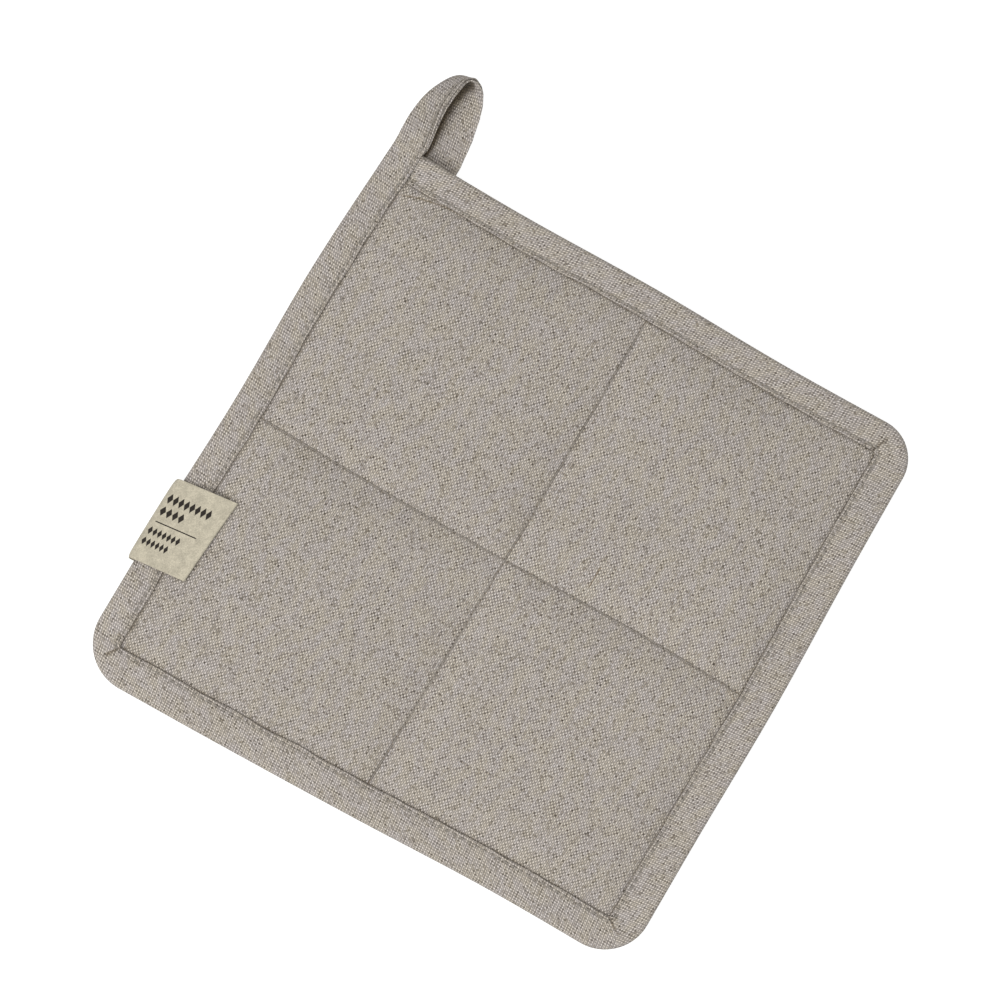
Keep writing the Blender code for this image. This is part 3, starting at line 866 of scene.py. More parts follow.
def label_material():
    """Fine cream tape with a plain printed pattern."""
    label = bpy.context.scene.pot_holder_label
    material, graph, shader = new_material("label_tape", *TAPE_FINISH)
    tape = graph.node("ShaderNodeUVMap", uv_map="tape").outputs[0]
    weave = use_weave(graph, tape, TAPE_PITCH, TAPE_PITCH, TAPE_PITCH / 4)
    rows = [
        use_group(graph, "printed_row", build_printed_row, {"Vector": tape, **dict(zip(ROW_SOCKETS, row))})
        for row in PRINTED_ROWS
    ]
    worn = graph.ease(weave["Melange"], 0.02, 0.30)
    ink = graph.times(graph.most(*(row["Ink"] for row in rows)), graph.line(worn, *INK_TONE))
    cloud = graph.ease(graph.noise(tape, TAPE_CLOUD_SCALE, 4.0)["Fac"], 0.30, 0.70)
    dull, bright = [(*(tone * part for part in label.tape), 1) for tone in TAPE_CLOUDS]
    end_at = LABEL_REACH - LABEL_OVERHANG
    level = graph.times(
        graph.line(weave["Hollow"], *TAPE_HOLLOW_TONE),
        graph.line(weave["Melange"], *TAPE_MELANGE_TONE),
        graph.ease(graph.split(tape)[0], end_at - END_SHADE_WIDTH, end_at, 1.0, END_SHADE),
    )
    toned = graph.scale(graph.mix(cloud, dull, bright), level)
    graph.feed(shader, {
        "Base Color": graph.mix(ink, toned, (*label.ink, 1)),
        "Normal": graph.bump(weave["Height"], 0.7, TAPE_RELIEF),
    })
    return material


def thread_material():
    """Twisted cotton thread."""
    stitches = bpy.context.scene.pot_holder_stitches
    material, graph, shader = new_material("sewing_thread", *THREAD_FINISH)
    place = graph.node("ShaderNodeTexCoord").outputs["Object"]
    twist = graph.node(
        "ShaderNodeTexWave", {"Vector": place, "Scale": 900.0, "Distortion": 2.0},
        bands_direction="DIAGONAL",
    ).outputs["Fac"]
    colours = [(*colour, 1) for colour in (stitches.colour, stitches.quilting_shade_colour)]
    # The quilting's thread takes its painted shade colour
    colour = graph.mix(graph.attribute("quilting"), *colours)
    graph.feed(shader, {
        "Base Color": graph.scale(colour, graph.line(twist, 0.4, 0.75)),
        "Normal": graph.bump(twist, 0.6, 0.00005),
    })
    return material


def wadding_material():
    """Needled white fibres."""
    material, graph, shader = new_material("wadding_fibre", *WADDING_FINISH)
    place = graph.node("ShaderNodeTexCoord").outputs["Object"]
    fibre = graph.noise(place, 900.0, 4.0)["Fac"]
    graph.feed(shader, {
        "Base Color": graph.ramp(fibre, ((0.3, (0.62, 0.60, 0.56)), (0.7, (0.82, 0.81, 0.78)))),
        "Normal": graph.bump(fibre, 0.8, 0.0002),
    })
    return material


# Meshes

def link_mesh(name, mesh):
    """An object for a mesh that was made in the pad's own plane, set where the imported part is."""
    mesh.transform(Matrix.Translation(PAD_MIDDLE))
    piece = bpy.data.objects.new(name, mesh)
    bpy.context.scene.collection.objects.link(piece)
    return piece


def apply_modifiers(piece):
    """Turns the piece's evaluated shape into its own plain mesh."""
    graph = bpy.context.evaluated_depsgraph_get()
    made = bpy.data.meshes.new_from_object(piece.evaluated_get(graph))
    made.name = piece.name
    piece.modifiers.clear()
    piece.data = made


def grid_faces(rows, columns):
    """The faces of a grid of points that is stored row by row, facing up."""
    index = np.arange(rows * columns).reshape(rows, columns)
    corners = (index[:-1, :-1], index[:-1, 1:], index[1:, 1:], index[1:, :-1])
    return np.stack([corner.ravel() for corner in corners], axis=1)


def grid_mesh(name, points, facing=1):
    """A sheet through a grid of points, facing up (1) or down (-1)."""
    rows, columns = points.shape[:2]
    faces = grid_faces(rows, columns)[:, ::facing]
    mesh = bpy.data.meshes.new(name)
    mesh.from_pydata(points.reshape(-1, 3).tolist(), [], faces.tolist())
    return mesh


# Quilted panels

def puff(across, up):
    """How far a place of a quilted square has swelled, from 0 at its seams to 1 at its middle."""
    swell = 1.0
    for share in (across, up):
        from_middle = min(1.0, abs(2 * abs(share) - 1))
        swell *= (1 - from_middle**PUFF_POWER) ** PUFF_ROUNDING
    return swell


def front_level(across, up):
    return CLOTH_LEVEL + (CROWN - CLOTH_LEVEL) * puff(across, up)


def back_level(across, up):
    """The back panel's outer face below the middle plane, pressed flat where it rests."""
    return -min(CROWN, CLOTH_LEVEL + (BACK_SWELL - CLOTH_LEVEL) * puff(across, up))


def cloth_shares():
    """Grid lines from lip to lip, closer together beside the seams and the lips."""
    steps = [(step / CLOTH_LINES) ** CLOTH_LINE_BIAS / 2 for step in range(CLOTH_LINES + 1)]
    seam_to_lip = steps + [1 - step for step in reversed(steps[:-1])]
    return [-share for share in reversed(seam_to_lip[1:])] + seam_to_lip


def panel_points(level):
    """A panel's grid of points inside the lips."""
    shares = cloth_shares()
    points = np.empty((len(shares), len(shares), 3))
    for row, up in enumerate(shares):
        for column, across in enumerate(shares):
            points[row, column] = (*pad_point(across, up), level(across, up))
    return points


# The panels' cloth simulation
SIM_SCALE = 10
SIM_FRAMES = 20
SIM_QUALITY = 6
SIM_START = 0.72
SIM_MASS = 0.3
SIM_STIFFNESS = 15
SIM_SHEAR = SIM_STIFFNESS / 3
SIM_BENDING = 0.5
LEAST_STEP = 1e-9


def swell_cloth(points, facing):
    """Swells a panel with Blender's cloth, held along its lips and seams, and returns its points.

    The panel is simulated SIM_SCALE times as large as it is, where the solver's defaults suit it.
    It starts flatter than it will be, because the pressure swells it.
    """
    cloth = bpy.context.scene.pot_holder_cloth
    start = points.copy()
    seam = CLOTH_LEVEL * facing
    start[:, :, 2] = seam + (points[:, :, 2] - seam) * SIM_START
    mesh = grid_mesh("swelling_cloth", start * SIM_SCALE, facing)
    piece = bpy.data.objects.new("swelling_cloth", mesh)
    bpy.context.scene.collection.objects.link(piece)
    last = len(points) - 1
    held = piece.vertex_groups.new(name="held")
    lines = (0, last // 2, last)
    index = np.arange((last + 1) ** 2).reshape(last + 1, last + 1)
    pinned = set()
    for line in lines:
        pinned.update(index[line].tolist())
        pinned.update(index[:, line].tolist())
    held.add(sorted(pinned), 1.0, "REPLACE")
    modifier = piece.modifiers.new("cloth", "CLOTH")
    settings = modifier.settings
    settings.quality = SIM_QUALITY
    settings.mass = SIM_MASS
    settings.tension_stiffness = SIM_STIFFNESS
    settings.compression_stiffness = SIM_STIFFNESS
    settings.shear_stiffness = SIM_SHEAR
    settings.bending_stiffness = SIM_BENDING
    settings.use_pressure = True
    settings.uniform_pressure_force = cloth.pressure
    settings.vertex_group_mass = "held"
    settings.shrink_min = -cloth.spare
    settings.effector_weights.gravity = 0
    modifier.point_cache.frame_start = 1
    modifier.point_cache.frame_end = SIM_FRAMES
    for step in range(1, SIM_FRAMES + 1):
        bpy.context.scene.frame_set(step)
    solved = piece.evaluated_get(bpy.context.evaluated_depsgraph_get()).to_mesh()
    moved = np.empty(len(solved.vertices) * 3)
    solved.vertices.foreach_get("co", moved)
    bpy.data.objects.remove(piece)
    bpy.context.scene.frame_set(1)
    step = moved.reshape(points.shape) / SIM_SCALE - points
    length = np.linalg.norm(step, axis=2, keepdims=True)
    capped = np.minimum(length, cloth.most_swell)
    return points + step * capped / np.maximum(length, LEAST_STEP)


def add_hem(points, facing):
    """Carries a panel's grid on from its lips to its raw edge inside the binding."""
    size = len(points)
    inset = BINDING_WALL + HEM_CLEARANCE
    extra = len(HEM_STEPS)
    whole = np.empty((size + 2 * extra, size + 2 * extra, 3))
    whole[extra:-extra, extra:-extra] = points
    lines = [-step for step in reversed(HEM_STEPS)] + [0.0] * size + list(HEM_STEPS)
    for row, up in enumerate(lines):
        for column, across in enumerate(lines):
            if not across and not up:
                continue
            near = points[min(max(row - extra, 0), size - 1), min(max(column - extra, 0), size - 1)]
            side, end = int(math.copysign(1, across)), int(math.copysign(1, up))
            x, y = near[0], near[1]
            if across and up:
                corner = on_arc(EDGE_ARCS[side, end], 45)
                edge_x, edge_y = outline_x(side, y) - side * inset, outline_y(end, x) - end * inset
                share_x, share_y = abs(across), abs(up)
                far_x = edge_x + (corner.x - side * inset - edge_x) * share_y
                far_y = edge_y + (corner.y - end * inset - edge_y) * share_x
                x, y = x + (far_x - x) * share_x, y + (far_y - y) * share_y
            elif across:
                x += (outline_x(side, y) - side * inset - x) * abs(across)
            else:
                y += (outline_y(end, x) - end * inset - y) * abs(up)
            whole[row, column] = (x, y, facing * CLOTH_LEVEL)
    return whole


def inside_lips(x, y):
    """How far a place of a panel lies inside the nearest lip, or below 0 under the binding."""
    return min(side * (line(side, other) - own)
               for line, own, other in ((lip_x, x, y), (lip_y, y, x)) for side in (-1, 1))


def add_seam_attributes(mesh):
    """Each point's way from the two quilting lines and from the lips."""
    points = [vertex.co.xy for vertex in mesh.vertices]
    for name, values in (
        ("from_lengthwise_seam", [x - quilt_x(y) for x, y in points]),
        ("from_crosswise_seam", [y - quilt_y(x) for x, y in points]),
        ("from_lip", [inside_lips(x, y) for x, y in points]),
    ):
        attribute = mesh.attributes.new(name, "FLOAT", "POINT")
        attribute.data.foreach_set("value", values)


SEAM_CREASE = 0.75


def add_seam_creases(mesh, size):
    """Keeps a grid's two middle lines sharp when it is subdivided."""
    middle = size // 2
    creases = []
    for edge in mesh.edges:
        places = [divmod(corner, size) for corner in edge.vertices]
        on_seam = any(all(place[way] == middle for place in places) for way in (0, 1))
        creases.append(SEAM_CREASE if on_seam else 0.0)
    mesh.attributes.new("crease_edge", "FLOAT", "EDGE").data.foreach_set("value", creases)


# Small folds that the sewing pushed up in the front panel, each with its depth and its line in the
# pad's plane
TUCKS = (
    (0.65, ((-0.0885, 0.0838), (-0.0820, 0.0863), (-0.0760, 0.0877), (-0.0700, 0.0886),
            (-0.0645, 0.0890))),
    (0.45, ((0.0850, -0.0025), (0.0910, -0.0050), (0.0960, -0.0078))),
)
TUCK_HEIGHT = 0.00080
TUCK_WIDTH = 0.00085
TUCK_STEPS = 16
TUCK_NEAR = (0.002, 0.004)
TUCK_TAPER = 6
FAR_FROM_TUCK = 1.0


def raise_tucks(mesh, facing):
    """Lifts the front panel beside its small folds, and notes each point's way from them."""
    lines = []
    for depth, line in TUCKS if facing > 0 else ():
        points = [Vector(point) for point in line]
        lines.append((depth, [along(points, step / TUCK_STEPS) for step in range(TUCK_STEPS + 1)]))
    from_tuck, tuck_depth = [], []
    for vertex in mesh.vertices:
        place, off, depth = (vertex.co - PAD_MIDDLE).xy, FAR_FROM_TUCK, 0.0
        for most, line in lines:
            near, step = min(((place - point).length, step) for step, point in enumerate(line))
            if near > TUCK_NEAR[1]:
                continue
            ahead = line[min(step + 1, TUCK_STEPS)] - line[max(step - 1, 0)]
            off = ahead.normalized().cross(place - line[step])
            share = min(1.0, TUCK_TAPER * min(step, TUCK_STEPS - step) / TUCK_STEPS)
            depth = most * share * (1 - smooth_step(*TUCK_NEAR, near))
            lift = math.exp(-(((off - TUCK_WIDTH) / TUCK_WIDTH) ** 2))
            vertex.co.z += TUCK_HEIGHT * depth * lift
        from_tuck.append(off)
        tuck_depth.append(depth)
    for name, values in (("from_tuck", from_tuck), ("tuck_depth", tuck_depth)):
        mesh.attributes.new(name, "FLOAT", "POINT").data.foreach_set("value", values)


def make_cloth_panel(name, points, facing, material):
    """One cloth panel, smoothed and then thickened towards the wadding."""
    whole = add_hem(points, facing)
    mesh = grid_mesh(name, whole, facing)
    add_seam_attributes(mesh)
    add_seam_creases(mesh, len(whole))
    mesh.materials.append(material)
    mesh.shade_smooth()
    piece = link_mesh(name, mesh)
    fine = piece.modifiers.new("fine", "SUBSURF")
    fine.levels = fine.render_levels = 1
    apply_modifiers(piece)
    raise_tucks(piece.data, facing)
    wall = piece.modifiers.new("cloth", "SOLIDIFY")
    wall.thickness = CLOTH
    wall.offset = -1
    apply_modifiers(piece)
    return piece


def make_wadding(name, front, back):
    """The wadding between the two panels, from their grids, thinned by the cloth and a gap."""
    skin = CLOTH + GAP
    upper, lower = front[::2, ::2].copy(), back[::2, ::2].copy()
    upper[:, :, 2] -= skin
    lower[:, :, 2] += skin
    rows, columns = upper.shape[:2]
    count = rows * columns
    faces = [tuple(face) for face in grid_faces(rows, columns)]
    faces += [tuple(corner + count for corner in reversed(face)) for face in faces]
    index = np.arange(count).reshape(rows, columns)
    rim = [*index[0], *index[1:, -1], *index[-1, -2::-1], *index[-2:0:-1, 0]]
    for corner, following in zip(rim, rim[1:] + rim[:1]):
        faces.append((corner, corner + count, following + count, following))
    points = np.concatenate([upper.reshape(-1, 3), lower.reshape(-1, 3)])
    mesh = bpy.data.meshes.new(name)
    mesh.from_pydata(points.tolist(), [], [tuple(int(i) for i in face) for face in faces])
    mesh.materials.append(wadding_material())
    mesh.shade_smooth()
    return link_mesh(name, mesh)


# The strip: the edge binding that runs on as the loop

# The puckers between its stitches, and the slanting drag lines of its bias cloth
PUCKER = 0.00009
PUCKER_REACH = 0.0014
DRAG = 0.00022
DRAG_LENGTH = 0.0085
DRAG_SLANT = 0.009
DRAG_WIDTH = 0.012
DRAG_SEED = 7
DRAG_BELL = 0.6
# The waves of its lip: their size, their turns for each stitch, and their place in the noise
LIP_WAVES = ((0.00050, 0.22, 3.0), (0.00014, 0.9, 8.0))
# The folded corners, with the depth of the painted shade along each fold, and the turn in degrees at which
# each mitre lies
MITRE_HEIGHT = 0.00070
MITRE_REACH = 0.0076
MITRE_SHADE_DEPTH = 0.6
MITRE_RISE = 0.0035
MITRE_DROP = 0.0006
MITRE_TURNS = {(1, 1): 72, (1, -1): 36, (-1, -1): 46}
# The painted shade under the loop: its reach at the bottom and the top, its depth and the rim without it
LOOP_SHADE = (0.0015, 0.0052)
LOOP_SHADE_DEPTH = 1.0
LOOP_RIM = (0.0010, 0.0028)
# Where along the loop its front edge droops: it begins, is full, starts to fade, ends
DROOP_RUN = (0.04, 0.18, 0.22, 0.50)


def rim_point(axis, side, at, lip):
    """A point of one side's edge or lip. axis 0 is a side that runs along X, 1 along Y."""
    if axis == 0:
        return Vector((at, (lip_y if lip else side_y)(side, at)))
    return Vector(((lip_x if lip else side_x)(side, at), at))


class Station:
    """One cross section of the strip: its two edges, its normal and its half heights."""

    def __init__(self, fold, lip, normal=UP, closing=0.0, off_mitre=None):
        self.fold, self.lip, self.normal = fold.to_3d(), lip.to_3d(), normal
        self.closing, self.off_mitre = closing, off_mitre
        self.level = BINDING_LEVEL + (LOOP_THICKNESS / 2 - BINDING_LEVEL) * closing
        self.slot = SLOT_LEVEL + (LOOP_SLIT / 2 - SLOT_LEVEL) * closing
        self.width = (self.lip - self.fold).length
        self.inwards = (self.lip - self.fold) / self.width
        self.run = self.droop = 0.0

    def place(self, across, height):
        return self.fold + self.inwards * across + self.normal * height

    def stitch_level(self):
        return self.level - STITCH_DIP * min(1.0, self.level / BINDING_LEVEL)


def edge_runs():
    """The strip's stations round the pad, one list for each side, and that side's axis.

    Neighbouring sides share the station in the middle of their corner.
    """
    top_start = lip_x(-1, lip_y(1, -PAD_WIDTH / 2)) + 2 * GAP
    left_end = side_y(1, -PAD_WIDTH / 2) - BINDING_WALL
    sides = (
        (0, 1, None, (1, 1)),
        (1, 1, (1, 1), (1, -1)),
        (0, -1, (1, -1), (-1, -1)),
        (1, -1, (-1, -1), None),
    )
    runs = []
    for axis, side, begin, end in sides:
        to_middle = range(0, 46, CORNER_STEP) if axis else range(90, 44, -CORNER_STEP)
        stations = []
        for turn in reversed(to_middle) if begin else ():
            stations.append(corner_station(begin, turn))
        spans = []
        for arcs in (EDGE_ARCS, LIP_ARCS):
            first = arcs[begin][0][axis] if begin else top_start
            last = arcs[end][0][axis] if end else left_end
            spans.append((first, last))
        inner = range(1 if begin else 0, SIDE_STATIONS + (0 if end else 1))
        for step in inner:
            share = step / SIDE_STATIONS
            fold_at, lip_at = [first + (last - first) * share for first, last in spans]
            fold, lip = rim_point(axis, side, fold_at, False), rim_point(axis, side, lip_at, True)
            stations.append(Station(fold, lip))
        for turn in to_middle if end else ():
            stations.append(corner_station(end, turn))
        runs.append((axis, stations))
    return runs


def corner_station(corner, turn):
    fold, lip = on_arc(EDGE_ARCS[corner], turn), on_arc(LIP_ARCS[corner], turn)
    return Station(fold, lip, off_mitre=math.radians(turn - MITRE_TURNS[corner]))


def loop_stations(last):
    """The loop's stations, on from the last one of the left side."""
    corner = Vector((side_x(-1, PAD_LENGTH / 2), side_y(1, -PAD_WIDTH / 2), TAIL_LEVEL))
    size = Matrix.Diagonal((LEFT_BINDING, LOOP_RISE, LOOP_LIFT))
    keys = [(last.fold, last.lip)]
    keys += [tuple(corner + size @ Vector(shares) for shares in pair) for pair in LOOP_STATIONS]
    tail = Vector((0, -LOOP_TAIL, 0))
    keys.append((keys[-1][0] + tail, keys[-1][1] + tail))
    folds, lips = [[key[part] for key in keys] for part in (0, 1)]
    count = (len(keys) - 1) * LOOP_STEPS
    edges = [(along(folds, step / count), along(lips, step / count)) for step in range(count + 1)]
    middles = [(fold + lip) / 2 for fold, lip in edges]
    stations = []
    for step in range(1, count + 1):
        fold, lip = edges[step]
        ahead = middles[min(step + 1, count)] - middles[step - 1]
        normal = (lip - fold).cross(ahead).normalized()
        closing = 1.0
        if step < count // 2:
            closing = smooth_step(0.0, LOOP_OPENING_RUN, middles[step].y - middles[0].y)
        station = Station(fold, lip, UP.lerp(normal, closing).normalized(), closing)
        drooped = smooth_step(*DROOP_RUN[:2], step / count)
        drooped *= 1 - smooth_step(*DROOP_RUN[2:], step / count)
        station.droop = LOOP_DROOP * drooped
        stations.append(station)
    return stations


def strip_stations():
    """Every station in order, and each run as (axis, first, last) places in that list."""
    stations, runs = [], []
    for axis, side in edge_runs():
        shared = 1 if stations else 0
        runs.append((axis, len(stations) - shared, len(stations) - shared + len(side) - 1))
        stations += side[shared:]
    loop = loop_stations(stations[-1])
    runs.append((2, len(stations) - 1, len(stations) - 1 + len(loop)))
    stations += loop
    return stations, runs


def measure_stitches(stations, pitch):
    """Sets how many stitches lie before each station, and returns their true pitch."""
    line = [station.lip - station.inwards * STITCH_INSET for station in stations]
    lengths = [0.0]
    for point, following in zip(line, line[1:]):
        lengths.append(lengths[-1] + (following - point).length)
    count = round(lengths[-1] / pitch)
    for station, length in zip(stations, lengths):
        station.run = length / lengths[-1] * count
    return lengths[-1] / count


def mitre_fold(station, from_lip):
    """The fold where the strip turns a corner: a slow rise to the diagonal and a sharp drop."""
    if station.off_mitre is None:
        return 0.0
    off = station.off_mitre * (from_lip + LIP_RADIUS)
    rise = smooth_step(-MITRE_RISE, 0.0, off) * (1 - smooth_step(0.0, MITRE_DROP, off))
    fade = 1 - smooth_step(0.4 * MITRE_REACH, MITRE_REACH, from_lip)
    return MITRE_HEIGHT * rise * fade


def mitre_shade(station, from_lip):
    """How deep in a corner's fold a place of the strip lies, from 0 to 1, which is painted there as shade.
    """
    if station.off_mitre is None:
        return 0.0
    off = station.off_mitre * (from_lip + LIP_RADIUS)
    near = 1 - smooth_step(0.1 * MITRE_DROP, 0.8 * MITRE_DROP, abs(off - MITRE_DROP / 2))
    return MITRE_SHADE_DEPTH * near * (1 - smooth_step(0.6 * MITRE_REACH, MITRE_REACH, from_lip))


def under_loop_shade(front_leg, station, across):
    """How close under the loop's front leg a place of its back leg lies, from 0 to 1, which is painted
    there as shade.
    """
    if station.normal.z > 0:
        return 0.0
    place = station.place(across, 0.0).xy
    off, share = min(
        ((place - front.lip.xy).length, step / len(front_leg)) for step, front in enumerate(front_leg)
    )
    reach = LOOP_SHADE[0] + (LOOP_SHADE[1] - LOOP_SHADE[0]) * share
    inside = smooth_step(*LOOP_RIM, station.width - across)
    return LOOP_SHADE_DEPTH * inside * (1 - smooth_step(0.3 * reach, reach, off))


def strip_relief(station, from_lip, face):
    """How far the cloth stands off the strip's plain form, in front (1) or behind (-1)."""
    near = math.exp(-(((from_lip - STITCH_INSET) / PUCKER_REACH) ** 2))
    pucker = -PUCKER * near * math.cos(2 * math.pi * (station.run + 0.5))
    run = station.run * STITCH_PITCH / DRAG_LENGTH + from_lip / DRAG_SLANT
    where = Vector((run, from_lip / DRAG_WIDTH, DRAG_SEED * face))
    bell = math.sin(math.pi * min(max(from_lip / station.width, 0.0), 1.0)) ** DRAG_BELL
    drag = DRAG * bell * noise.noise(where)
    return pucker + drag + mitre_fold(station, from_lip)


def section(station):
    """The folded strip's section, from its front lip round the fold to its back lip and inside."""
    width, level, slot = station.width, station.level, station.slot
    wall = min(BINDING_WALL, level)
    half = (
        (width, 0.80 * level),
        (width - 0.3 * STITCH_INSET, 0.98 * level),
        (width - STITCH_INSET, station.stitch_level()),
        (width - 2 * STITCH_INSET, level),
        (0.50 * width, level),
        (0.17 * width, 0.96 * level),
        (0.05 * width, 0.70 * level),
    )
    keys = [Vector(key) for key in (*half, (0, 0), *((a, -h) for a, h in reversed(half)))]
    count = (len(keys) - 1) * SECTION_STEPS
    wobble = sum(
        height * noise.noise(Vector((station.run * turns, place, 0.0)))
        for height, turns, place in LIP_WAVES
    )
    back_proud = LOOP_BACK_PROUD * station.closing
    outer = []
    for step in range(count + 1):
        a, h = along(keys, step / count)
        face = 1 if h > 0 else -1
        share = min(1.0, abs(h) / (0.7 * level))
        h += face * share * strip_relief(station, width - a, face)
        proud = back_proud if h < 0 else 0.0
        h -= station.droop * (a / width) ** 2
        outer.append((a + (wobble + proud) * (a / width) ** 4, h))
    lip, back = width + wobble, width + wobble + back_proud
    middle = (0.80 * level + slot) / 2
    hollow = ((0.14 * width, slot), (wall, 0.8 * slot))
    inner = [(back, -slot), *((a, -h) for a, h in hollow), *reversed(hollow), (lip, slot)]
    rest = [(back + LIP_ROUND, -middle), *inner, (lip + LIP_ROUND, middle)]
    return outer + [(a, h - station.droop * (a / width) ** 2) for a, h in rest]


def make_strip(name, stations, runs, material):
    """The binding and loop as one closed skin, with a map that follows its cloth."""
    shape = bmesh.new()
    flat = [section(station) for station in stations]
    rings = [
        [shape.verts.new(station.place(a, h)) for a, h in outline]
        for station, outline in zip(stations, flat)
    ]
    size = len(rings[0])
    strip_map = shape.loops.layers.uv.new("strip")
    travelled = [0.0]
    for before, after in zip(stations, stations[1:]):
        middle = (after.fold + after.lip - before.fold - before.lip) / 2
        travelled.append(travelled[-1] + middle.length)
    loop_first = runs[-1][1]
    loop_start = stations[loop_first].fold.y - travelled[loop_first]
    for axis, first, last in runs:
        straight = axis < 2
        off_axis = 1 - axis if straight else 0
        maps = []
        for place in range(first, last + 1):
            lip_at = stations[place].lip[off_axis]
            previous, across, row = None, 0.0, []
            for vertex, (a, h) in zip(rings[place], flat[place]):
                off = abs(vertex.co[off_axis] - lip_at) if straight else stations[place].width - a
                if previous is not None:
                    across += math.hypot(off - previous[0], h - previous[1])
                previous = (off, h)
                run = vertex.co[axis] if straight else loop_start + travelled[place]
                row.append((run, across))
            maps.append(row)
        for place in range(first, last):
            here, there = maps[place - first], maps[place - first + 1]
            for index in range(size):
                before = index - 1
                corners = (
                    (rings[place][before], here[before]), (rings[place][index], here[index]),
                    (rings[place + 1][index], there[index]), (rings[place + 1][before], there[before]),
                )
                face = shape.faces.new([corner[0] for corner in corners])
                for loop, (_, place_on_map) in zip(face.loops, corners):
                    loop[strip_map].uv = place_on_map
    shape.faces.new(rings[0])
    shape.faces.new(rings[-1])
    bmesh.ops.recalc_face_normals(shape, faces=shape.faces)
    mesh = bpy.data.meshes.new(name)
    shape.to_mesh(mesh)
    shape.free()
    stitch_run = mesh.attributes.new("stitch_run", "FLOAT", "POINT")
    stitch_run.data.foreach_set("value", [station.run for station in stations for _ in flat[0]])
    front_leg = stations[loop_first:loop_first + (len(stations) - loop_first) // 2]
    # The strip's painted shade: dark lines along the mitre folds and the shade under the loop's front leg
    crease = mesh.attributes.new("crease", "FLOAT", "POINT")
    crease.data.foreach_set("value", [
        max(mitre_shade(station, station.width - a), under_loop_shade(front_leg, station, a))
        for station, outline in zip(stations, flat) for a, _ in outline
    ])
    mesh.materials.append(material)
    mesh.shade_smooth()
    return link_mesh(name, mesh)


# The label

LABEL_FLAT_STEPS = 22
LABEL_TURN_STEPS = 16
LABEL_ROWS = 40
LABEL_WAVE = 0.00016
LABEL_WAVES = (2.1, 1.6, 4.0)
LABEL_STAND_OFF = 0.0010
LABEL_CORNER_POWER = 16
LABEL_BACK_SHARES = (0.33, 0.67, 1.0)


def label_profile():
    """The tape's way from its front end round the edge: place, level and length so far."""
    front = BINDING_LEVEL + LABEL_STAND_OFF + GAP + LABEL_THICKNESS / 2
    back = BINDING_LEVEL + GAP + LABEL_THICKNESS / 2
    turn_depth = LABEL_OVERHANG + GAP
    profile = []
    for step in range(LABEL_FLAT_STEPS):
        share = 1 - step / LABEL_FLAT_STEPS
        profile.append((share, front + LABEL_END_LIFT * share**3))
    for step in range(LABEL_TURN_STEPS + 1):
        turn = math.pi * step / LABEL_TURN_STEPS
        height = front if turn < math.pi / 2 else back
        profile.append((-math.sin(turn) * turn_depth, height * math.cos(turn)))
    for share in LABEL_BACK_SHARES:
        profile.append((LABEL_BACK_REACH * share, -back))
    return profile


def make_label(name, material):
    """The tape: over the binding to the panel in front, round the edge and under it behind."""
    profile = label_profile()
    columns = len(profile)
    points = np.empty((LABEL_ROWS + 1, columns, 3))
    tape = np.empty((LABEL_ROWS + 1, columns, 2))
    for row in range(LABEL_ROWS + 1):
        up = 2 * row / LABEL_ROWS - 1
        y = LABEL_CENTRE + up * LABEL_HEIGHT / 2
        turn = LABEL_TURN + up * LABEL_TURN_SKEW
        direction = Vector((math.cos(turn), math.sin(turn)))
        fold = 1 - LABEL_CORNER_ROUNDING * abs(up) ** LABEL_CORNER_POWER
        for column, (along_tape, level) in enumerate(profile):
            if column < LABEL_FLAT_STEPS:
                waves = Vector((along_tape * LABEL_WAVES[0], up * LABEL_WAVES[1], LABEL_WAVES[2]))
                wave = noise.noise(waves)
                level += LABEL_WAVE * wave * along_tape
                along_tape *= LABEL_REACH - LABEL_OVERHANG - up * LABEL_END_SKEW
            else:
                along_tape *= fold if along_tape < 0 else 1
            under = smooth_step(LABEL_FLAT_STEPS, LABEL_FLAT_STEPS + LABEL_TURN_STEPS, column)
            place = Vector((side_x(-1, y), y)) + direction * along_tape
            place.y -= LABEL_BACK_SHIFT * under
            points[row, column] = (place.x, place.y, level)
            turned = column > LABEL_FLAT_STEPS + LABEL_TURN_STEPS // 2
            on_map = -along_tape - 2 * LABEL_OVERHANG if turned else along_tape
            if column < LABEL_FLAT_STEPS:
                on_map = profile[column][0] * (LABEL_REACH - LABEL_OVERHANG)
            tape[row, column] = (on_map, y - LABEL_CENTRE)
    mesh = grid_mesh(name, points, -1)
    layer = mesh.uv_layers.new(name="tape")
    flat = tape.reshape(-1, 2)
    for loop in mesh.loops:
        layer.data[loop.index].uv = flat[loop.vertex_index]
    mesh.materials.append(material)
    mesh.shade_smooth()
    piece = link_mesh(name, mesh)
    wall = piece.modifiers.new("tape", "SOLIDIFY")
    wall.thickness = LABEL_THICKNESS
    wall.offset = 0
    edge = piece.modifiers.new("soft edge", "BEVEL")
    edge.width = LABEL_THICKNESS / 4
    edge.segments = 2
    edge.limit_method = "ANGLE"
    apply_modifiers(piece)
    return piece


# Stitches

STITCH_GROUP = "stitches_along_path"
STITCH_ARCH = 0.0007
STITCH_DEPTH = 0.00022
# How far a stitch may lean in radians, and its least and largest size
STITCH_LEAN = (0.05, 0.05, 0.07)
STITCH_SIZES = ((0.92, 0.90, 0.85), (1.06, 1.10, 1.10))
# The strip's stitches end where its normal has tilted this far on the loop
STITCHED_TILT = 0.35
# The quilting: the share of each seam that is sewn, its steps, and how far it stands off the seam
QUILTING_REACH = 0.965
QUILTING_STEPS = 120
QUILTING_RAISE = 0.00015
# How much of the quilting thread's painted groove shade the crosswise seam shows
CROSSWISE_THREAD_SHADE = 0.75


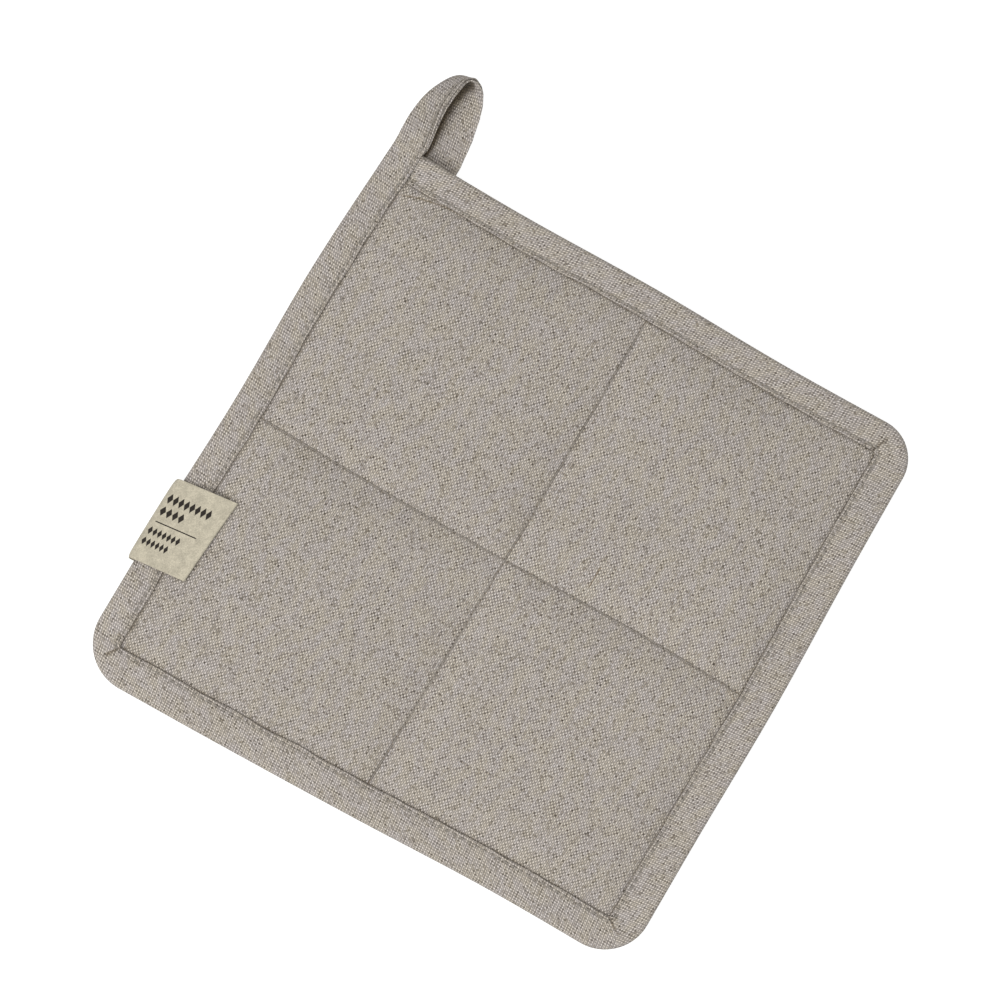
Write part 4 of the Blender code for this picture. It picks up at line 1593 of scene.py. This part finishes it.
def random_vector(graph, seed, least, most):
    return graph.node(
        "FunctionNodeRandomValue", {0: least, 1: most, "Seed": seed}, data_type="FLOAT_VECTOR"
    ).outputs[0]


def build_stitches(name):
    """Geometry nodes that lay arched stitches along a path, each turned to the cloth's outside."""
    graph, given, result = new_group(
        name,
        "GeometryNodeTree",
        [("Geometry", "Geometry"), ("Stitches", "Int"), "Length", "Radius", "Arch", "Depth",
         ("Seed", "Int"), ("Material", "Material")],
        [("Geometry", "Geometry")],
    )
    path = graph.node("GeometryNodeMeshToCurve", [given["Geometry"]]).outputs[0]
    path = graph.node(
        "GeometryNodeResampleCurve", {"Curve": path, "Count": given["Stitches"]}
    ).outputs[0]
    half, sunk = graph.times(given["Length"], 0.5), graph.times(given["Depth"], -1.0)
    bow = graph.node(
        "GeometryNodeCurveQuadraticBezier",
        {
            "Resolution": 6,
            "Start": graph.join(graph.times(half, -1.0), 0.0, sunk),
            "Middle": graph.join(0.0, 0.0, given["Arch"]),
            "End": graph.join(half, 0.0, sunk),
        },
    ).outputs[0]
    ring = graph.node(
        "GeometryNodeCurvePrimitiveCircle", {"Resolution": 6, "Radius": given["Radius"]}
    ).outputs[0]
    stitch = graph.node(
        "GeometryNodeCurveToMesh", {"Curve": bow, "Profile Curve": ring, "Fill Caps": True}
    ).outputs[0]
    tangent = graph.node("GeometryNodeInputTangent").outputs[0]
    outward = graph.node(
        "GeometryNodeInputNamedAttribute", {"Name": "outward"}, data_type="FLOAT_VECTOR"
    ).outputs["Attribute"]
    facing = graph.node(
        "FunctionNodeAxesToRotation", [outward, tangent],
        primary_axis="Z", secondary_axis="X",
    ).outputs[0]
    lean = random_vector(graph, given["Seed"], [-turn for turn in STITCH_LEAN], STITCH_LEAN)
    turned = graph.node(
        "FunctionNodeRotateRotation", [facing, lean], rotation_space="LOCAL"
    ).outputs[0]
    size = random_vector(graph, given["Seed"], *STITCH_SIZES)
    laid = graph.node(
        "GeometryNodeInstanceOnPoints",
        {"Points": path, "Instance": stitch, "Rotation": turned, "Scale": size},
    ).outputs[0]
    laid = graph.node("GeometryNodeRealizeInstances", [laid]).outputs[0]
    laid = graph.node("GeometryNodeSetShadeSmooth", {"Geometry": laid}).outputs[0]
    laid = graph.node(
        "GeometryNodeSetMaterial", {"Geometry": laid, "Material": given["Material"]}
    ).outputs[0]
    graph.feed(result, {"Geometry": laid})
    return graph.tree


def quilting_shade(lengthwise, across):
    """How much of the quilting thread's dark colour, painted shade of its groove, shows at a place: less
    where the seam nearly closes.
    """
    if lengthwise:
        return 1.0
    closed = smooth_step(*CLOSED_SEAM[:2], across) * (1 - smooth_step(*CLOSED_SEAM[2:], across))
    return CROSSWISE_THREAD_SHADE * (1 - closed * (1 - CLOSED_SEAM_SHARE))


def lay_stitches(name, path, count, seed, material, node, shade=lambda across: 0.0):
    """Stitches along a path of (point, outward direction), in place of one packed thread."""
    stitches = bpy.context.scene.pot_holder_stitches
    mesh = bpy.data.meshes.new(name)
    edges = [(step, step + 1) for step in range(len(path) - 1)]
    mesh.from_pydata([point for point, _ in path], edges, [])
    outward = mesh.attributes.new("outward", "FLOAT_VECTOR", "POINT")
    outward.data.foreach_set("vector", [part for _, facing in path for part in facing])
    piece = link_mesh(name, mesh)
    tree = bpy.data.node_groups.get(STITCH_GROUP) or build_stitches(STITCH_GROUP)
    modifier = piece.modifiers.new("stitches", "NODES")
    modifier.node_group = tree
    values = {
        "Stitches": count, "Length": stitches.length, "Radius": stitches.radius,
        "Arch": STITCH_ARCH, "Depth": STITCH_DEPTH, "Seed": seed, "Material": material,
    }
    for item in tree.interface.items_tree:
        if item.in_out == "INPUT" and item.name in values:
            modifier[item.identifier] = values[item.name]
    apply_modifiers(piece)
    # How much of the quilting's painted shade colour each stitch takes
    shades = [shade(vertex.co.x - PAD_MIDDLE.x) for vertex in piece.data.vertices]
    piece.data.attributes.new("quilting", "FLOAT", "POINT").data.foreach_set("value", shades)
    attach(piece, BODY)
    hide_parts(node)
    return piece


def quilting_path(lengthwise, side):
    """The points of a quilting line on the front (1) or back (-1), and their outward directions."""
    path = []
    for step in range(QUILTING_STEPS + 1):
        share = (2 * step / QUILTING_STEPS - 1) * QUILTING_REACH
        x, y = pad_point(0, share) if lengthwise else pad_point(share, 0)
        path.append(((x, y, side * (CLOTH_LEVEL + QUILTING_RAISE)), (0, 0, side)))
    return path


def quilting_count(lengthwise):
    """A quilting line's number of stitches, and its start and true pitch in the frame."""
    pitch = bpy.context.scene.pot_holder_stitches.pitch
    axis = 1 if lengthwise else 0
    path = quilting_path(lengthwise, 1)
    start, end = path[0][0][axis], path[-1][0][axis]
    count = round((end - start) / pitch)
    return count, start + PAD_MIDDLE[axis], (end - start) / count


# Stage

FLOOR_WIDTH = 4.0
FLOOR_GLOW = 0.78
FLOOR_GREY = (0.55, 0.55, 0.55, 1)
WHITE = (1, 1, 1, 1)
KEY_DISTANCE = 1.6
KEY_WIDTH = 0.9
KEY_ELEVATION = math.radians(52)
KEY_AZIMUTH = math.radians(-118)
CLIP_HEIGHTS = 10


def seen_directly(graph):
    """1 for rays that show a surface straight, in a mirror or through glass, and 0 for light."""
    rays = graph.node("ShaderNodeLightPath").outputs
    return graph.most(rays["Is Camera Ray"], rays["Is Glossy Ray"], rays["Is Transmission Ray"])


def make_floor():
    """A white floor that keeps the pad's shadow."""
    bpy.ops.mesh.primitive_plane_add(size=FLOOR_WIDTH)
    floor = bpy.context.object
    floor.name = "floor"
    material, graph, shader = new_material("white_floor", 1.0)
    shader.inputs["Base Color"].default_value = FLOOR_GREY
    shader.inputs["Specular IOR Level"].default_value = 0.0
    shader.inputs["Emission Color"].default_value = WHITE
    glow = graph.times(seen_directly(graph), FLOOR_GLOW)
    graph.feed(shader, {"Emission Strength": glow})
    floor.data.materials.append(material)


def make_world(strength):
    """An even pale surround, which shows as white."""
    world = bpy.data.worlds.new("studio")
    world.use_nodes = True
    graph = Graph(world.node_tree)
    background = graph.tree.nodes["Background"]
    background.inputs["Color"].default_value = WHITE
    level = graph.line(seen_directly(graph), 1.0 - strength, strength)
    graph.feed(background, {"Strength": level})
    bpy.context.scene.world = world


def make_key_light(share):
    """One soft lamp beyond the pad's bottom left, which gives its share of the light."""
    lamp = bpy.data.lights.new("key", "AREA")
    lamp.shape = "DISK"
    lamp.size = KEY_WIDTH
    lamp.energy = share * (math.pi * KEY_DISTANCE) ** 2 / math.sin(KEY_ELEVATION)
    key = bpy.data.objects.new("key", lamp)
    flat = math.cos(KEY_ELEVATION)
    away = Vector(
        (math.cos(KEY_AZIMUTH) * flat, math.sin(KEY_AZIMUTH) * flat, math.sin(KEY_ELEVATION))
    )
    key.location = away * KEY_DISTANCE
    key.rotation_euler = away.to_track_quat("Z", "Y").to_euler()
    bpy.context.scene.collection.objects.link(key)


def make_camera(settings):
    """A long lens straight above, turned so that the pad lies as it does in the picture."""
    lens = bpy.data.cameras.new("camera")
    lens.lens = lens.sensor_width * settings.height / settings.view_width
    lens.clip_end = CLIP_HEIGHTS * settings.height
    camera = bpy.data.objects.new("camera", lens)
    camera.location = PAD_MIDDLE + Vector(settings.aim) + UP * settings.height
    camera.rotation_euler = (0, 0, settings.turn)
    bpy.context.scene.collection.objects.link(camera)
    bpy.context.scene.camera = camera


# Operators

class MakePad(bpy.types.Operator):
    """Make the two quilted cloth panels and the wadding between them"""

    bl_idname = "pot_holder.make_pad"
    bl_label = "Make pad"

    def execute(self, context):
        _, *lengthwise = quilting_count(True)
        _, *crosswise = quilting_count(False)
        material = panel_material(lengthwise, crosswise)
        grids = []
        for name, node, level, facing in (
            ("front_cloth", "front_panel", front_level, 1),
            ("back_cloth", "back_panel", back_level, -1),
        ):
            points = panel_points(level)
            points = swell_cloth(points, facing)
            if facing < 0:
                points[:, :, 2] = np.maximum(points[:, :, 2], -CROWN)
            grids.append(points)
            piece = make_cloth_panel(name, points, facing, material)
            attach(piece, BODY)
            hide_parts(node)
        padding = make_wadding("padding", *grids)
        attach(padding, BODY)
        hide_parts("wadding")
        return {"FINISHED"}


class MakeBinding(bpy.types.Operator):
    """Make the bias strip that binds the edge and runs on as the loop, with its stitches"""

    bl_idname = "pot_holder.make_binding"
    bl_label = "Make binding"

    def execute(self, context):
        stations, runs = strip_stations()
        pitch = measure_stitches(stations, context.scene.pot_holder_stitches.pitch)
        last = next(
            place for place, station in enumerate(stations) if station.normal.z < STITCHED_TILT
        )
        strip = make_strip("bias_binding", stations, runs, binding_material(pitch))
        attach(strip, BODY)
        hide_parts("edge_binding")
        thread = thread_material()
        for name, side, seed in (("front", 1, 5), ("back", -1, 6)):
            path = []
            for station in stations[:last]:
                height = station.stitch_level() + strip_relief(station, STITCH_INSET, side)
                point = station.place(station.width - STITCH_INSET, side * height)
                path.append((tuple(point), tuple(side * station.normal)))
            lay_stitches(
                f"binding_stitches_{name}", path, round(stations[last - 1].run) + 1, seed, thread,
                f"binding_thread_{name}",
            )
        return {"FINISHED"}


class MakeQuilting(bpy.types.Operator):
    """Make the quilting stitches of both seams, in front and behind"""

    bl_idname = "pot_holder.make_quilting"
    bl_label = "Make quilting"

    def execute(self, context):
        thread = bpy.data.materials["sewing_thread"]
        seed = 1
        for side_name, side in (("front", 1), ("back", -1)):
            for way, lengthwise in (("lengthwise", True), ("crosswise", False)):
                count, _, _ = quilting_count(lengthwise)
                name = f"quilting_stitches_{side_name}_{way}"
                node = f"quilting_thread_{side_name}_{way}"
                path = quilting_path(lengthwise, side)
                lay_stitches(name, path, count + 1, seed, thread, node,
                             partial(quilting_shade, lengthwise))
                seed += 1
        return {"FINISHED"}


class MakeLabel(bpy.types.Operator):
    """Make the tape label that is folded round the left edge"""

    bl_idname = "pot_holder.make_label"
    bl_label = "Make label"

    def execute(self, context):
        label = make_label("label_tape", label_material())
        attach(label, BODY)
        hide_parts("side_label")
        return {"FINISHED"}


class MakeStage(bpy.types.Operator):
    """Make the floor, the lights and the camera"""

    bl_idname = "pot_holder.make_stage"
    bl_label = "Make stage"

    def execute(self, context):
        settings = context.scene.pot_holder_stage
        make_floor()
        make_world(1.0 - settings.key_share)
        make_key_light(settings.key_share)
        make_camera(settings)
        context.scene.view_settings.view_transform = "Standard"
        return {"FINISHED"}


# Panel and registration

class PotHolderPanel(bpy.types.Panel):
    """Lists the pot holder's settings and pieces"""

    bl_idname = "VIEW3D_PT_pot_holder"
    bl_label = "Pot Holder"
    bl_space_type = "VIEW_3D"
    bl_region_type = "UI"
    bl_category = "Pot Holder"

    def draw(self, context):
        for group in SETTINGS:
            box = self.layout.box()
            settings = getattr(context.scene, group)
            for name in settings.__annotations__:
                box.prop(settings, name)
        for operator in OPERATORS:
            self.layout.operator(operator.bl_idname)


SETTINGS = {
    "pot_holder_cloth": PotHolderCloth,
    "pot_holder_stitches": PotHolderStitches,
    "pot_holder_label": PotHolderLabel,
    "pot_holder_stage": PotHolderStage,
}
OPERATORS = (MakePad, MakeBinding, MakeQuilting, MakeLabel, MakeStage)


def register():
    for kind in (*SETTINGS.values(), *OPERATORS, PotHolderPanel):
        bpy.utils.register_class(kind)
    for name, kind in SETTINGS.items():
        setattr(bpy.types.Scene, name, PointerProperty(type=kind))


def unregister():
    for name in SETTINGS:
        delattr(bpy.types.Scene, name)
    for kind in (PotHolderPanel, *reversed(OPERATORS), *reversed(list(SETTINGS.values()))):
        bpy.utils.unregister_class(kind)


def main():
    register()
    for operator in OPERATORS:
        group, name = operator.bl_idname.split(".")
        getattr(getattr(bpy.ops, group), name)()


if __name__ == "__main__":
    main()
